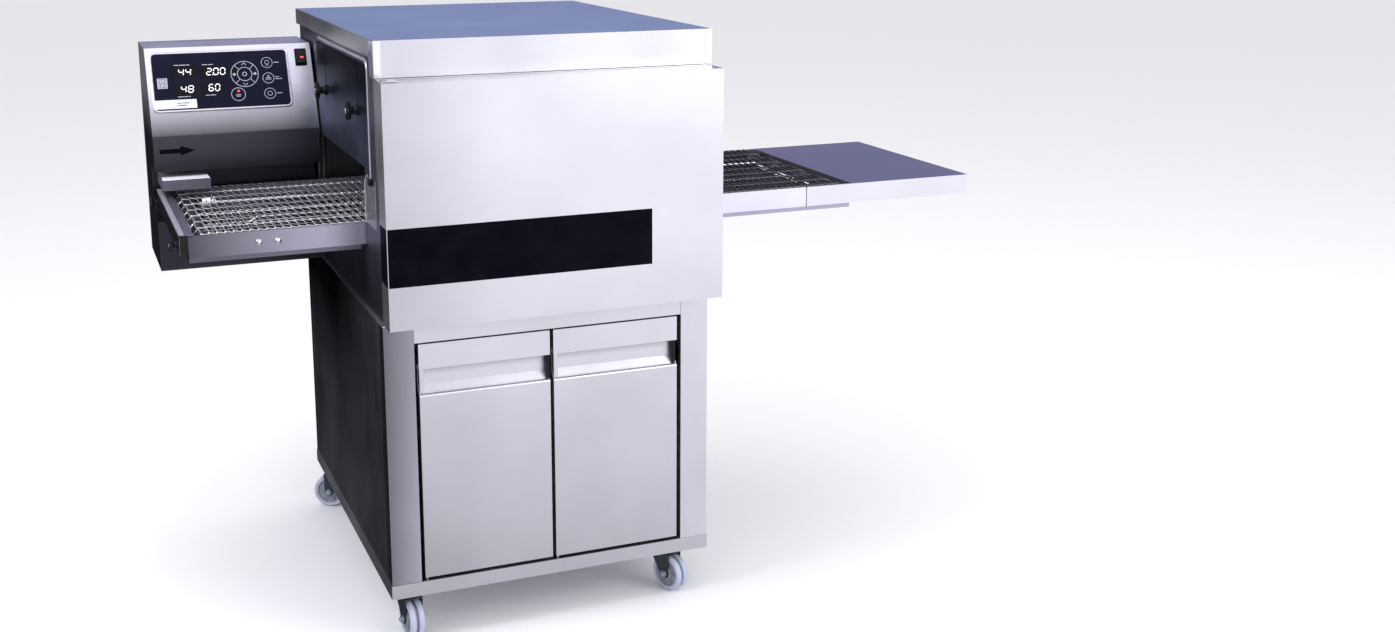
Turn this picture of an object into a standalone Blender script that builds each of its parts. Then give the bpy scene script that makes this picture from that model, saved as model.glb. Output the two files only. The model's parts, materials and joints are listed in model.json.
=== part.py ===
"""Compact electric conveyor pizza oven on a two-door cabinet with castors.

Metres, +Z up. The sizes below are measured from the cabinet's front left corner on the floor:
X runs along the belt from infeed to outfeed, Y from front to back. The frame empty moves that
corner so that the world origin is on the floor, under the middle of the whole object.
"""

import math

import bmesh
import bpy
from mathutils import Matrix, Vector

OBJECT_NAME = "conveyor_pizza_oven"

# Whole object
FRAME_X = -0.533  # the cabinet's left side in the world
FRAME_Y = -0.397  # the cabinet's front in the world
SHEET = 0.002
GAP = 0.0005  # between pieces that touch
FIT = 0.0004  # round a pin or stud

# Stand
STAND_W, STAND_D = 0.700, 0.864
STAND_BOTTOM, STAND_TOP = 0.102, 0.681
BASE_H, BASE_RAIL = 0.030, 0.012
INSET = 0.0015  # side panels and posts behind the base rail's face
POST_W, POST_RETURN = 0.061, 0.020
TOP_RAIL_BOTTOM = 0.6393
DOOR_BOTTOM, DOOR_TOP, DOOR_T = 0.139, 0.636, 0.022
LEFT_DOOR = (0.0705, 0.345)
RIGHT_DOOR = (0.3528, 0.6281)
GRIP_BOTTOM, GRIP_TOP, GRIP_DEPTH = 0.532, 0.584, 0.016
ROD_R, ROD_X, ROD_Y = 0.003, 0.006, 0.0125

# Castors
WHEEL_R, WHEEL_HALF, AXLE_R, TRAIL = 0.040, 0.016, 0.005, 0.026
CASTOR_X, CASTOR_Y = (0.045, 0.620), (0.064, 0.794)
CASTORS = {"front_left": -84, "front_right": -67, "rear_left": 150, "rear_right": -58}

# Oven body
BODY_FRONT, BODY_BACK = -0.010, 0.864
BODY_BOTTOM, BODY_TOP = 0.6815, 1.2425
PANEL_IN = 0.008  # side panels behind the cover's edge
FRAME_BOTTOM, FRAME_TOP, FRAME_BACK = 0.7005, 1.1695, 0.015
COVER_FRONT_BOTTOM, COVER_SIDE_BOTTOM = 1.171, 1.2075
MOUTH_Y, MOUTH_Z = (0.150, 0.690), (0.814, 1.060)
ACCESS_X, ACCESS_Z = (0.055, 0.645), (0.745, 1.135)
LINER_X, LINER_Y, LINER_Z = (0.030, 0.670), (0.016, 0.745), (0.730, 1.165)
JACKET_BACK, JACKET_BOTTOM, JACKET_TOP = 0.790, 0.704, 1.235

# Front door
DOOR_FRONT_Y, DOOR_BACK_Y = -0.072, -0.0135
OVEN_DOOR_BOTTOM, OVEN_DOOR_TOP = 0.689, 1.1675
HINGE_X, HINGE_Y, HINGE_R = 0.010, -0.044, 0.004

# Conveyor
BELT_FRONT, BELT_BACK = 0.1665, 0.6735
RAIL_FRONT, RAIL_BACK = 0.157, 0.683
RAIL_BOTTOM, RAIL_TOP, RAIL_LIP = 0.8145, 0.859, 0.008
RAIL_LEFT, RAIL_RIGHT, TONGUE_RIGHT = -0.341, 1.0120, 1.118
SHAFT_Z, SHAFT_R = 0.842, 0.006
DRIVE_X, IDLER_X = -0.307, 1.098
BELT_R, BELT_T = 0.020, 0.0045
TRAY_Z = (0.8035, 0.8135)  # bottom and end walls of the crumb trays
INFEED_TRAY = (-0.340, -0.002)
OUTFEED_TRAY = (0.702, 1.129)
SHELF_LEFT, SHELF_PLATE, SHELF_RIGHT = 1.014, 1.131, 1.442

# Baffles and knobs
BAFFLE_Y, BAFFLE_Z = (0.086, 0.630), (0.978, 1.186)
STUD_YS, STUD_Z, STUD_R = (0.175, 0.520), 1.087, 0.003
SLOT_HALF, SLOT_TOP = 0.0035, 1.1815
END_KNOB_YS, END_KNOB_Z = (0.185, 0.645), 0.838

# Control box and drive
BOX_LEFT = -0.363
BOX_BACK, BOX_BOTTOM, BOX_TOP = 0.866, 0.688, 1.176
BOX_FRONT, BOX_TOP_FRONT, FOLD_Z = 0.608, 0.694, 0.992
NOTCH_BACK, NOTCH_Z = 0.702, (0.800, 0.9115)
SPROCKET_R, SPROCKET_Y = 0.0215, (0.689, 0.697)
MOTOR_Z = 0.744
FAN_X, FAN_Z = 0.350, 0.965

STEEL = ("brushed_steel", (0.62, 0.62, 0.67), 0.32, 1.0)
DARK_STEEL = ("shaded_steel", (0.30, 0.31, 0.36), 0.35, 1.0)
WIRE = ("wire", (0.60, 0.58, 0.56), 0.30, 1.0)
BLACK = ("black_plastic", (0.02, 0.02, 0.025), 0.45, 0.0)
KEYPAD = ("keypad_film", (0.015, 0.018, 0.04), 0.25, 0.0)
WOOL = ("insulation", (0.72, 0.68, 0.55), 0.95, 0.0)
SEAL = ("seal_braid", (0.35, 0.34, 0.32), 0.9, 0.0)
HEATER = ("heater_tube", (0.20, 0.18, 0.17), 0.5, 1.0)
CAST = ("motor_paint", (0.16, 0.17, 0.19), 0.5, 0.2)
WHEEL = ("castor_tread", (0.62, 0.64, 0.72), 0.5, 0.0)
ZINC = ("zinc", (0.45, 0.50, 0.55), 0.4, 0.9)

for old in list(bpy.data.objects):
    bpy.data.objects.remove(old, do_unlink=True)

parts = bpy.data.collections.new(OBJECT_NAME)
cutters = bpy.data.collections.new("cutters")
bpy.context.scene.collection.children.link(parts)
bpy.context.scene.collection.children.link(cutters)
frame = bpy.data.objects.new("frame_origin", None)
frame.location = (FRAME_X, FRAME_Y, 0)
parts.objects.link(frame)


# ---------------------------------------------------------------- shapes: each gives a mesh
def box(x, y, z):
    """A block between the two ends given along each axis."""
    bm = bmesh.new()
    bmesh.ops.create_cube(bm, size=1)
    size = Vector((x[1] - x[0], y[1] - y[0], z[1] - z[0]))
    middle = Vector((x[0] + x[1], y[0] + y[1], z[0] + z[1])) / 2
    bmesh.ops.scale(bm, vec=size, verts=bm.verts)
    bmesh.ops.translate(bm, vec=middle, verts=bm.verts)
    return to_mesh(bm)


def rod(start, end, radius, sides=20):
    """A round bar from start to end."""
    start, end = Vector(start), Vector(end)
    bm = bmesh.new()
    bmesh.ops.create_cone(
        bm, cap_ends=True, segments=sides, radius1=radius, radius2=radius, depth=(end - start).length
    )
    turn = (end - start).to_track_quat("Z", "Y").to_matrix().to_4x4()
    bmesh.ops.transform(bm, matrix=Matrix.Translation((start + end) / 2) @ turn, verts=bm.verts)
    return to_mesh(bm)


def to_mesh(bm):
    mesh = bpy.data.meshes.new("shape")
    bm.to_mesh(mesh)
    bm.free()
    return mesh


def evaluated(thing, matrix):
    """The mesh of a curve or of an object with modifiers, welded and moved by matrix."""
    parts.objects.link(thing)
    bpy.context.view_layer.update()
    mesh = bpy.data.meshes.new_from_object(thing.evaluated_get(bpy.context.evaluated_depsgraph_get()))
    bpy.data.objects.remove(thing, do_unlink=True)
    bm = bmesh.new()
    bm.from_mesh(mesh)
    bmesh.ops.remove_doubles(bm, verts=bm.verts, dist=0.00001)
    bmesh.ops.transform(bm, matrix=matrix, verts=bm.verts)
    bm.to_mesh(mesh)
    bm.free()
    return mesh


ALONG_X = Matrix(((0, 0, 1, 0), (1, 0, 0, 0), (0, 1, 0, 0), (0, 0, 0, 1)))  # outline (y, z)
ALONG_Y = Matrix(((1, 0, 0, 0), (0, 0, -1, 0), (0, 1, 0, 0), (0, 0, 0, 1)))  # outline (x, z)
ALONG_Z = Matrix.Identity(4)  # outline (x, y)


def prism(outline, ends, matrix):
    """A flat outline given thickness between the two ends of its axis."""
    curve = bpy.data.curves.new("outline", "CURVE")
    curve.dimensions = "2D"
    curve.fill_mode = "BOTH"
    curve.extrude = (ends[1] - ends[0]) / 2
    spline = curve.splines.new("POLY")
    spline.points.add(len(outline) - 1)
    for point, (across, up) in zip(spline.points, outline):
        point.co = (across, up, 0, 1)
    spline.use_cyclic_u = True
    middle = (ends[0] + ends[1]) / 2
    if matrix is ALONG_Y:
        middle = -middle
    return evaluated(bpy.data.objects.new("outline", curve), matrix @ Matrix.Translation((0, 0, middle)))


def arc(centre, radius, first, last, steps):
    """Points of an arc in degrees, both ends included."""
    angles = [math.radians(first + (last - first) * i / steps) for i in range(steps + 1)]
    return [(centre[0] + radius * math.cos(a), centre[1] + radius * math.sin(a)) for a in angles]


def turned(profile, matrix, steps=20):
    """A closed (radius, height) profile turned round the local Z axis."""
    mesh = bpy.data.meshes.new("profile")
    count = len(profile)
    mesh.from_pydata([(r, 0, h) for r, h in profile], [(i, (i + 1) % count) for i in range(count)], [])
    thing = bpy.data.objects.new("profile", mesh)
    screw = thing.modifiers.new("turn", "SCREW")
    screw.steps = screw.render_steps = steps
    screw.use_merge_vertices = True
    screw.merge_threshold = 0.00001
    return evaluated(thing, matrix)


def tube(points, radius):
    """A bent tube through the points, with closed ends."""
    curve = bpy.data.curves.new("tube", "CURVE")
    curve.dimensions = "3D"
    curve.bevel_depth = radius
    curve.bevel_resolution = 2
    curve.use_fill_caps = True
    spline = curve.splines.new("POLY")
    spline.points.add(len(points) - 1)
    for point, place in zip(spline.points, points):
        point.co = (*place, 1)
    return evaluated(bpy.data.objects.new("tube", curve), Matrix.Identity(4))


# ---------------------------------------------------------------- pieces
def material(finish):
    name, colour, roughness, metallic = finish
    made = bpy.data.materials.get(name)
    if made is None:
        made = bpy.data.materials.new(name)
        made.use_nodes = True
        shader = made.node_tree.nodes["Principled BSDF"]
        shader.inputs["Base Color"].default_value = (*colour, 1)
        shader.inputs["Roughness"].default_value = roughness
        shader.inputs["Metallic"].default_value = metallic
    return made


def place(name, mesh, collection, origin=(0, 0, 0), parent=frame):
    """An object whose origin is at the given point of the parent's frame."""
    mesh.transform(Matrix.Translation(-Vector(origin)))
    thing = bpy.data.objects.new(name, mesh)
    thing.location = origin
    thing.parent = parent
    collection.objects.link(thing)
    return thing


def combine(piece, mesh, operation, parent):
    """Join a shape to a piece, or cut it away, with a Boolean modifier."""
    number = len(piece.modifiers)
    tool = place(f"{piece.name}_{operation.lower()}_{number}", mesh, cutters, parent=parent)
    tool.hide_render = True
    tool.display_type = "WIRE"
    modifier = piece.modifiers.new(f"{operation.lower()}_{number}", "BOOLEAN")
    modifier.operation = operation
    modifier.solver = "EXACT"
    modifier.object = tool


def solid(name, finish, shapes, cuts=(), origin=(0, 0, 0), parent=frame, smooth=False):
    """One sub-part: its first shape, joined with the others, less the cuts."""
    piece = place(name, shapes[0], parts, origin, parent)
    piece.data.materials.clear()
    piece.data.materials.append(material(finish))
    for shape in shapes[1:]:
        combine(piece, shape, "UNION", parent)
    for cut in cuts:
        combine(piece, cut, "DIFFERENCE", parent)
    if smooth:
        piece.data.shade_smooth()
        piece.data.set_sharp_from_angle(angle=math.radians(35))
    return piece


# ---------------------------------------------------------------- stand
def stand_case():
    bottom, base_top = STAND_BOTTOM, STAND_BOTTOM + BASE_H
    pads = []
    for x in CASTOR_X:
        for y in CASTOR_Y:
            pads.append(box((x - 0.043, x + 0.043), (y - 0.036, y + 0.036), (bottom - 0.004, bottom + 0.001)))
    tray = box((0, STAND_W), (0, STAND_D), (bottom, base_top))
    hollow = box(
        (BASE_RAIL, STAND_W - BASE_RAIL), (BASE_RAIL, STAND_D - BASE_RAIL), (bottom + SHEET, base_top + 0.01)
    )
    solid("stand_base", STEEL, [tray, *pads], [hollow])

    low, high = base_top + GAP, STAND_TOP - SHEET - GAP
    for name, outer, inward in (("stand_left_side", INSET, 1), ("stand_right_side", STAND_W - INSET, -1)):
        inner = outer + inward * POST_W

        def span(a, b):
            return tuple(sorted((a, b)))

        panel = box(span(outer, outer + inward * SHEET), (INSET, STAND_D - INSET), (low, high))
        post = box(span(outer, inner), (INSET, INSET + SHEET), (low, high))
        fold = box(span(inner - inward * SHEET, inner), (INSET, POST_RETURN), (low, high))
        solid(name, STEEL, [panel, post, fold])

    inside = INSET + SHEET + GAP
    back = STAND_D - INSET
    solid("stand_back_panel", STEEL, [box((inside, STAND_W - inside), (back - SHEET, back), (low, high))])

    rail_x = (INSET + POST_W + GAP, STAND_W - INSET - POST_W - GAP)
    middle = (LEFT_DOOR[1] + RIGHT_DOOR[0]) / 2
    plate = box((0, STAND_W), (0, STAND_D), (STAND_TOP - SHEET, STAND_TOP))
    rail = box(rail_x, (0.002, 0.004), (TOP_RAIL_BOTTOM, STAND_TOP - SHEET / 2))
    ledge = box(rail_x, (0.002, 0.040), (TOP_RAIL_BOTTOM, TOP_RAIL_BOTTOM + SHEET))
    mullion = box((middle - 0.019, middle + 0.019), (0.026, 0.040), (low, TOP_RAIL_BOTTOM + 0.001))
    solid("stand_top_frame", STEEL, [plate, rail, ledge, mullion])


def stand_doors():
    """Doors folded into a full-width finger grip, on pivot rods at their left edges."""
    front, back = INSET, INSET + DOOR_T
    deep = front + GRIP_DEPTH
    lip = 0.003
    section = [
        (front, DOOR_BOTTOM),
        (front, GRIP_BOTTOM - 0.006),
        *[(front + 0.006 - y, z) for y, z in arc((0, GRIP_BOTTOM - 0.006), 0.006, 15, 75, 3)],
        (deep, GRIP_BOTTOM + 0.016),
        (deep, GRIP_TOP + 0.009),
        (front + lip, GRIP_TOP + 0.009),
        (front + lip, GRIP_TOP),
        (front, GRIP_TOP),
        (front, DOOR_TOP),
        (back, DOOR_TOP),
        (back, DOOR_BOTTOM),
    ]
    skin = 0.0015
    open_back = [
        (front + skin, DOOR_BOTTOM + skin),
        (front + skin, GRIP_BOTTOM - 0.012),
        (deep + skin, GRIP_BOTTOM + 0.008),
        (deep + skin, GRIP_TOP + 0.009 + skin),
        (front + skin, GRIP_TOP + 0.009 + skin),
        (front + skin, DOOR_TOP - skin),
        (back + 0.01, DOOR_TOP - skin),
        (back + 0.01, DOOR_BOTTOM + skin),
    ]
    low, high = STAND_BOTTOM + BASE_H + GAP, TOP_RAIL_BOTTOM - GAP
    for side, ends in (("left", LEFT_DOOR), ("right", RIGHT_DOOR)):
        axis = (ends[0] + ROD_X, ROD_Y)
        bore = rod((*axis, DOOR_BOTTOM - 0.01), (*axis, DOOR_TOP + 0.01), ROD_R + FIT)
        hollow = prism(open_back, (ends[0] + 2 * ROD_X, ends[1] - skin), ALONG_X)
        solid(f"stand_{side}_door", STEEL, [prism(section, ends, ALONG_X)], [bore, hollow], (*axis, 0))
        solid(f"{side}_door_hinge_rod", ZINC, [rod((*axis, low), (*axis, high), ROD_R, 16)], smooth=True)


def castor(name, x, y, heading):
    """A swivel fork with a twin-tread wheel; the empty turns the whole castor about its kingpin."""
    pivot = bpy.data.objects.new(f"castor_{name}_swivel", None)
    pivot.location = (x, y, 0)
    pivot.rotation_euler = (0, 0, math.radians(heading))
    pivot.parent = frame
    parts.objects.link(pivot)

    top = STAND_BOTTOM - 0.004 - GAP
    plate_z = (WHEEL_R * 2 + 0.003, WHEEL_R * 2 + 0.006)
    leg_in = WHEEL_HALF + 0.0015
    leg_out = leg_in + 0.0025
    leg = [
        (-0.020, plate_z[1]),
        *arc((TRAIL, WHEEL_R), 0.011, 215, 385, 6),
        (TRAIL + 0.012, plate_z[1]),
    ]
    shapes = [
        box((-0.020, TRAIL + 0.012), (-leg_out, leg_out), plate_z),
        rod((0, 0, plate_z[0] + 0.001), (0, 0, top), 0.024),
        prism(leg, (leg_in, leg_out), ALONG_Y),
        prism(leg, (-leg_out, -leg_in), ALONG_Y),
        rod((TRAIL, -leg_out - 0.003, WHEEL_R), (TRAIL, leg_out + 0.003, WHEEL_R), AXLE_R, 12),
    ]
    solid(f"castor_{name}_fork", ZINC, shapes, parent=pivot)

    half, rim = WHEEL_HALF, WHEEL_R
    upper = [(AXLE_R + FIT, half), (0.014, half), (0.017, half - 0.004), (0.029, half - 0.004)]
    upper += [(0.031, half - 0.0005), (rim - 0.0025, half - 0.0005), (rim, half - 0.003), (rim, 0.0045)]
    upper += [(rim - 0.0025, 0.003)]
    profile = upper + [(r, -h) for r, h in reversed(upper)]
    centre = Vector((TRAIL, 0, WHEEL_R))
    lay_down = Matrix.Translation(centre) @ Matrix.Rotation(math.pi / 2, 4, "X")
    solid(
        f"castor_{name}_wheel", WHEEL, [turned(profile, lay_down)], origin=centre, parent=pivot, smooth=True
    )


def castors():
    for name, heading in CASTORS.items():
        x = CASTOR_X["right" in name]
        y = CASTOR_Y["rear" in name]
        castor(name, x, y, heading)


# ---------------------------------------------------------------- oven body
def hinge_tab(z):
    """The ear that holds a hinge pin, with its root inside the side panel."""
    ear = box((SHEET, 0.036), (HINGE_Y - 0.011, BODY_FRONT - GAP), z)
    root = box((PANEL_IN + SHEET + 2 * GAP, 0.036), (BODY_FRONT - 0.001, BODY_FRONT + 0.006), z)
    return [ear, root]


def hinge_hole(z):
    return rod((HINGE_X, HINGE_Y, z - 0.01), (HINGE_X, HINGE_Y, z + 0.01), HINGE_R + FIT)


def oven_case():
    left, right = PANEL_IN, STAND_W - PANEL_IN
    inner = (left + SHEET + GAP, right - SHEET - GAP)
    wall_top = FRAME_BOTTOM - GAP
    pan = box(inner, (BODY_FRONT + 0.0005, BODY_BACK - 0.001), (BODY_BOTTOM, wall_top))
    inside_x = (inner[0] + SHEET, inner[1] - SHEET)
    hollow = box(inside_x, (BODY_FRONT + SHEET, BODY_BACK - 0.003), (BODY_BOTTOM + SHEET, 0.72))
    tab = (OVEN_DOOR_BOTTOM - 0.0035, OVEN_DOOR_BOTTOM - 0.0015)
    solid("oven_base_pan", STEEL, [pan, *hinge_tab(tab)], [hollow, hinge_hole(tab[0])])

    high = BODY_TOP - SHEET - 0.001
    back = box(inner, (BODY_BACK - 0.0025, BODY_BACK - 0.0005), (FRAME_BOTTOM, high))
    solid("oven_back_panel", STEEL, [back])

    mouth = box((-0.1, STAND_W + 0.1), MOUTH_Y, MOUTH_Z)
    sides = {"oven_infeed_side": (left, left + SHEET), "oven_outfeed_side": (right - SHEET, right)}
    for name, x in sides.items():
        holes = [rod((x[0] - 0.01, y, STUD_Z), (x[1] + 0.01, y, STUD_Z), STUD_R + FIT, 16) for y in STUD_YS]
        panel = box(x, (BODY_FRONT + SHEET + GAP, BODY_BACK - 0.001), (BODY_BOTTOM, high))
        solid(name, STEEL, [panel], [mouth.copy(), *holes])

    top = box((0, STAND_W), (BODY_FRONT, BODY_BACK + 0.001), (COVER_FRONT_BOTTOM, BODY_TOP))
    inside_y = (BODY_FRONT + SHEET, BODY_BACK - 0.0005)
    inside = box((SHEET, STAND_W - SHEET), inside_y, (COVER_FRONT_BOTTOM - 0.1, BODY_TOP - SHEET))
    trim = box((-0.1, STAND_W + 0.1), (BODY_FRONT + SHEET, BODY_BACK + 0.1), (0, COVER_SIDE_BOTTOM))
    solid("oven_top_cover", STEEL, [top], [inside, trim])

    ring = box(inner, (BODY_FRONT, FRAME_BACK), (FRAME_BOTTOM, FRAME_TOP))
    access = box(ACCESS_X, (BODY_FRONT - 0.1, FRAME_BACK + 0.1), ACCESS_Z)
    tab = (OVEN_DOOR_TOP + 0.001, OVEN_DOOR_TOP + 0.0025)
    solid("oven_front_frame", STEEL, [ring, *hinge_tab(tab)], [access, hinge_hole(tab[0])])


def chamber():
    shaft_hole = rod((FAN_X, 0.70, FAN_Z), (FAN_X, 0.84, FAN_Z), 0.010)
    outer = box(LINER_X, LINER_Y, LINER_Z)
    inside_x = (LINER_X[0] + SHEET, LINER_X[1] - SHEET)
    inner = box(inside_x, (0, LINER_Y[1] - SHEET), (LINER_Z[0] + SHEET, LINER_Z[1] - SHEET))
    mouth = box((-0.1, STAND_W + 0.1), MOUTH_Y, MOUTH_Z)
    solid("chamber_liner", DARK_STEEL, [outer], [inner, mouth, shaft_hole])

    section = [
        (LINER_Y[0] + 0.002, JACKET_BOTTOM),
        (JACKET_BACK, JACKET_BOTTOM),
        (JACKET_BACK, JACKET_TOP),
        (LINER_Y[0] + 0.002, JACKET_TOP),
        (LINER_Y[0] + 0.002, LINER_Z[1] + 0.001),
        (LINER_Y[1] + 0.001, LINER_Z[1] + 0.001),
        (LINER_Y[1] + 0.001, LINER_Z[0] - 0.001),
        (LINER_Y[0] + 0.002, LINER_Z[0] - 0.001),
    ]
    jacket = prism(section, (LINER_X[0] + 0.001, LINER_X[1] - 0.001), ALONG_X)
    hole = rod((FAN_X, 0.70, FAN_Z), (FAN_X, 0.84, FAN_Z), 0.010)
    solid("insulation_jacket", WOOL, [jacket], [hole])

    for name, z in (("upper_jet_plate", 1.080), ("lower_jet_plate", 0.775)):
        plate = box((LINER_X[0] + SHEET + GAP, LINER_X[1] - SHEET - GAP), (0.170, 0.7425), (z, z + SHEET))
        slots = []
        for i in range(6):
            x = 0.110 + 0.096 * i
            slots.append(box((x - 0.008, x + 0.008), (0.200, 0.640), (z - 0.01, z + 0.01)))
        solid(name, DARK_STEEL, [plate], slots)

    for name, z in (("upper_heating_element", 1.120), ("lower_heating_element", 0.752)):
        runs = [(0.080, 0.7425, z), (0.080, 0.230, z), (0.600, 0.230, z)]
        for i in range(3):
            y = 0.350 + 0.120 * i
            ends = [(0.600, y, z), (0.140, y, z)]
            runs += ends if i % 2 == 0 else ends[::-1]
        runs += [(0.140, 0.7425, z)]
        solid(name, HEATER, [tube(runs, 0.004)], smooth=True)


def fan():
    """Impeller on the motor's shaft, turning about Y."""
    centre = (FAN_X, 0, FAN_Z)
    shapes = [
        rod((FAN_X, 0.700, FAN_Z), (FAN_X, 0.736, FAN_Z), 0.016),
        rod((FAN_X, 0.730, FAN_Z), (FAN_X, 0.830, FAN_Z), 0.005, 12),
    ]
    for i in range(6):
        blade = box((FAN_X + 0.010, FAN_X + 0.058), (0.702, 0.734), (FAN_Z - 0.001, FAN_Z + 0.001))
        turn = Matrix.Rotation(math.radians(60 * i + 10), 4, "Y")
        blade.transform(Matrix.Translation(centre) @ turn @ Matrix.Translation(-Vector(centre)))
        shapes.append(blade)
    solid("convection_fan", DARK_STEEL, shapes, origin=(FAN_X, 0.72, FAN_Z))
    bore = rod((FAN_X, 0.78, FAN_Z), (FAN_X, 0.835, FAN_Z), 0.005 + FIT, 16)
    body = rod((FAN_X, JACKET_BACK + GAP, FAN_Z), (FAN_X, 0.855, FAN_Z), 0.045, 24)
    solid("fan_motor", CAST, [body], [bore], smooth=True)


def front_door():
    axis = (HINGE_X, HINGE_Y, 0)
    low, high = OVEN_DOOR_BOTTOM, OVEN_DOOR_TOP
    outer = box((0, STAND_W), (DOOR_FRONT_Y, DOOR_BACK_Y), (low, high))
    hollow = box((SHEET, STAND_W - SHEET), (DOOR_FRONT_Y + SHEET, 0.01), (low + SHEET, high - SHEET))
    solid("front_door_shell", STEEL, [outer], [hollow, hinge_hole(low), hinge_hole(high)], axis)

    edge = SHEET + 0.001
    back = DOOR_BACK_Y - GAP
    panel = box((edge, STAND_W - edge), (back - 0.016, back), (low + edge, high - edge))
    wall = edge + SHEET
    pocket = box((wall, STAND_W - wall), (back - 0.03, back - SHEET), (low + wall, high - wall))
    solid("front_door_liner", STEEL, [panel], [pocket], axis)

    seal_y = (back + 0.0003, BODY_FRONT - 0.0003)
    out_x, out_z = (ACCESS_X[0] - 0.013, ACCESS_X[1] + 0.013), (ACCESS_Z[0] - 0.013, ACCESS_Z[1] + 0.013)
    in_x, in_z = (ACCESS_X[0] - 0.003, ACCESS_X[1] + 0.003), (ACCESS_Z[0] - 0.003, ACCESS_Z[1] + 0.003)
    solid("door_seal", SEAL, [box(out_x, seal_y, out_z)], [box(in_x, (-0.1, 0.1), in_z)], axis)

    at = (HINGE_X, HINGE_Y)
    for name, ends, head in (
        ("door_hinge_pin_upper", (high - 0.018, high + 0.004), (high + 0.0029, high + 0.0060)),
        ("door_hinge_pin_lower", (low - 0.005, low + 0.018), (low - 0.0070, low - 0.0039)),
    ):
        shank = rod((*at, ends[0]), (*at, ends[1]), HINGE_R, 16)
        cap = rod((*at, head[0]), (*at, head[1]), HINGE_R + 0.003, 16)
        solid(name, ZINC, [shank, cap], smooth=True)


# ---------------------------------------------------------------- baffles and knobs
def baffle(name, x):
    plate = box(x, BAFFLE_Y, BAFFLE_Z)
    through = (x[0] - 0.01, x[1] + 0.01)
    slots = [box(through, (y - SLOT_HALF, y + SLOT_HALF), (STUD_Z - 0.0045, SLOT_TOP)) for y in STUD_YS]
    solid(name, DARK_STEEL, [plate], slots)


def star_knob(name, face, out, y, z, reach, size=1.0):
    """A four-lobed knob on its stud; out is -1 or 1, the way the head points along X."""
    near = face + out * GAP
    neck_end = face + out * 0.015 * size
    head_end = face + out * 0.026 * size
    shapes = [
        rod((near, y, z), (near + out * 0.004, y, z), 0.011 * size, 16),
        rod((near + out * 0.001, y, z), (neck_end + out * 0.002, y, z), 0.0075 * size, 12),
        rod((neck_end, y, z), (head_end, y, z), 0.0125 * size, 16),
        rod((near + out * 0.002, y, z), (face - out * reach, y, z), STUD_R, 12),
    ]
    for i in range(4):
        angle = math.radians(45 + 90 * i)
        ly, lz = y + 0.0135 * size * math.cos(angle), z + 0.0135 * size * math.sin(angle)
        shapes.append(rod((neck_end, ly, lz), (head_end, ly, lz), 0.0055 * size, 10))
    solid(name, BLACK, shapes, origin=(near, y, z))


def baffles():
    left = (0.004, 0.0055)
    right = (STAND_W - 0.0055, STAND_W - 0.004)
    baffle("infeed_baffle", left)
    baffle("outfeed_baffle", right)
    for label, y in zip(("front", "rear"), STUD_YS):
        star_knob(f"infeed_knob_{label}", left[0], -1, y, STUD_Z, 0.012)
        star_knob(f"outfeed_knob_{label}", right[1], 1, y, STUD_Z, 0.012)


# ---------------------------------------------------------------- conveyor
def stud_hole(x, y):
    """A bore along X for the stud of an end bar knob."""
    return rod((x - 0.01, y, END_KNOB_Z), (x + 0.01, y, END_KNOB_Z), STUD_R + FIT, 16)


def rail(name, outer, inward, knob_y):
    """A C-section rail, its tongue under the exit shelf and its end tab for the end bar's knob."""
    web, lip = outer + inward * SHEET, outer + inward * RAIL_LIP
    section = [
        (outer, RAIL_BOTTOM),
        (lip, RAIL_BOTTOM),
        (lip, RAIL_BOTTOM + SHEET),
        (web, RAIL_BOTTOM + SHEET),
        (web, RAIL_TOP - SHEET),
        (lip, RAIL_TOP - SHEET),
        (lip, RAIL_TOP),
        (outer, RAIL_TOP),
    ]
    tongue = tuple(sorted((outer + inward * 0.0015, outer + inward * 0.0050)))
    tab = tuple(sorted((outer + inward * 0.001, knob_y + inward * 0.012)))
    shapes = [
        prism(section, (RAIL_LEFT, RAIL_RIGHT), ALONG_X),
        box((RAIL_RIGHT - 0.030, TONGUE_RIGHT), tongue, (RAIL_BOTTOM + 0.0055, RAIL_TOP - 0.003)),
        box((RAIL_LEFT, RAIL_LEFT + SHEET), tab, (RAIL_BOTTOM + 0.0055, RAIL_TOP - 0.001)),
    ]
    cuts = [stud_hole(RAIL_LEFT, knob_y)]
    if inward < 0:
        cuts.append(rod((DRIVE_X, outer - 0.02, SHAFT_Z), (DRIVE_X, outer + 0.02, SHAFT_Z), SHAFT_R + 0.001))
    solid(name, STEEL, shapes, cuts)


def end_bar():
    top = RAIL_TOP + GAP
    section = [
        (-0.330, top),
        (-0.330, top + SHEET),
        (-0.344, top + SHEET),
        (-0.3575, 0.8555),
        (-0.3575, 0.824),
        (-0.3555, 0.824),
        (-0.3555, 0.8540),
        (-0.3435, top),
    ]
    face = -0.3575
    body = prism(section, (RAIL_FRONT + 0.001, RAIL_BACK - 0.001), ALONG_Y)
    solid("conveyor_end_bar", STEEL, [body], [stud_hole(face, y) for y in END_KNOB_YS])
    for label, y in zip(("front", "rear"), END_KNOB_YS):
        star_knob(f"end_bar_knob_{label}", face, -1, y, END_KNOB_Z, 0.020, size=0.7115)


def ring_outline(centres, radius):
    """The outline round two equal circles, as one closed loop."""
    (ax, az), (bx, bz) = centres
    along = math.degrees(math.atan2(bz - az, bx - ax))
    far_end = arc((bx, bz), radius, along - 90, along + 90, 8)
    return far_end + arc((ax, az), radius, along + 90, along + 270, 8)


def loop(name, finish, centres, outer, thick, y):
    body = prism(ring_outline(centres, outer), y, ALONG_Y)
    hole = prism(ring_outline(centres, outer - thick), (y[0] - 0.01, y[1] + 0.01), ALONG_Y)
    solid(name, finish, [body], [hole])


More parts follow.
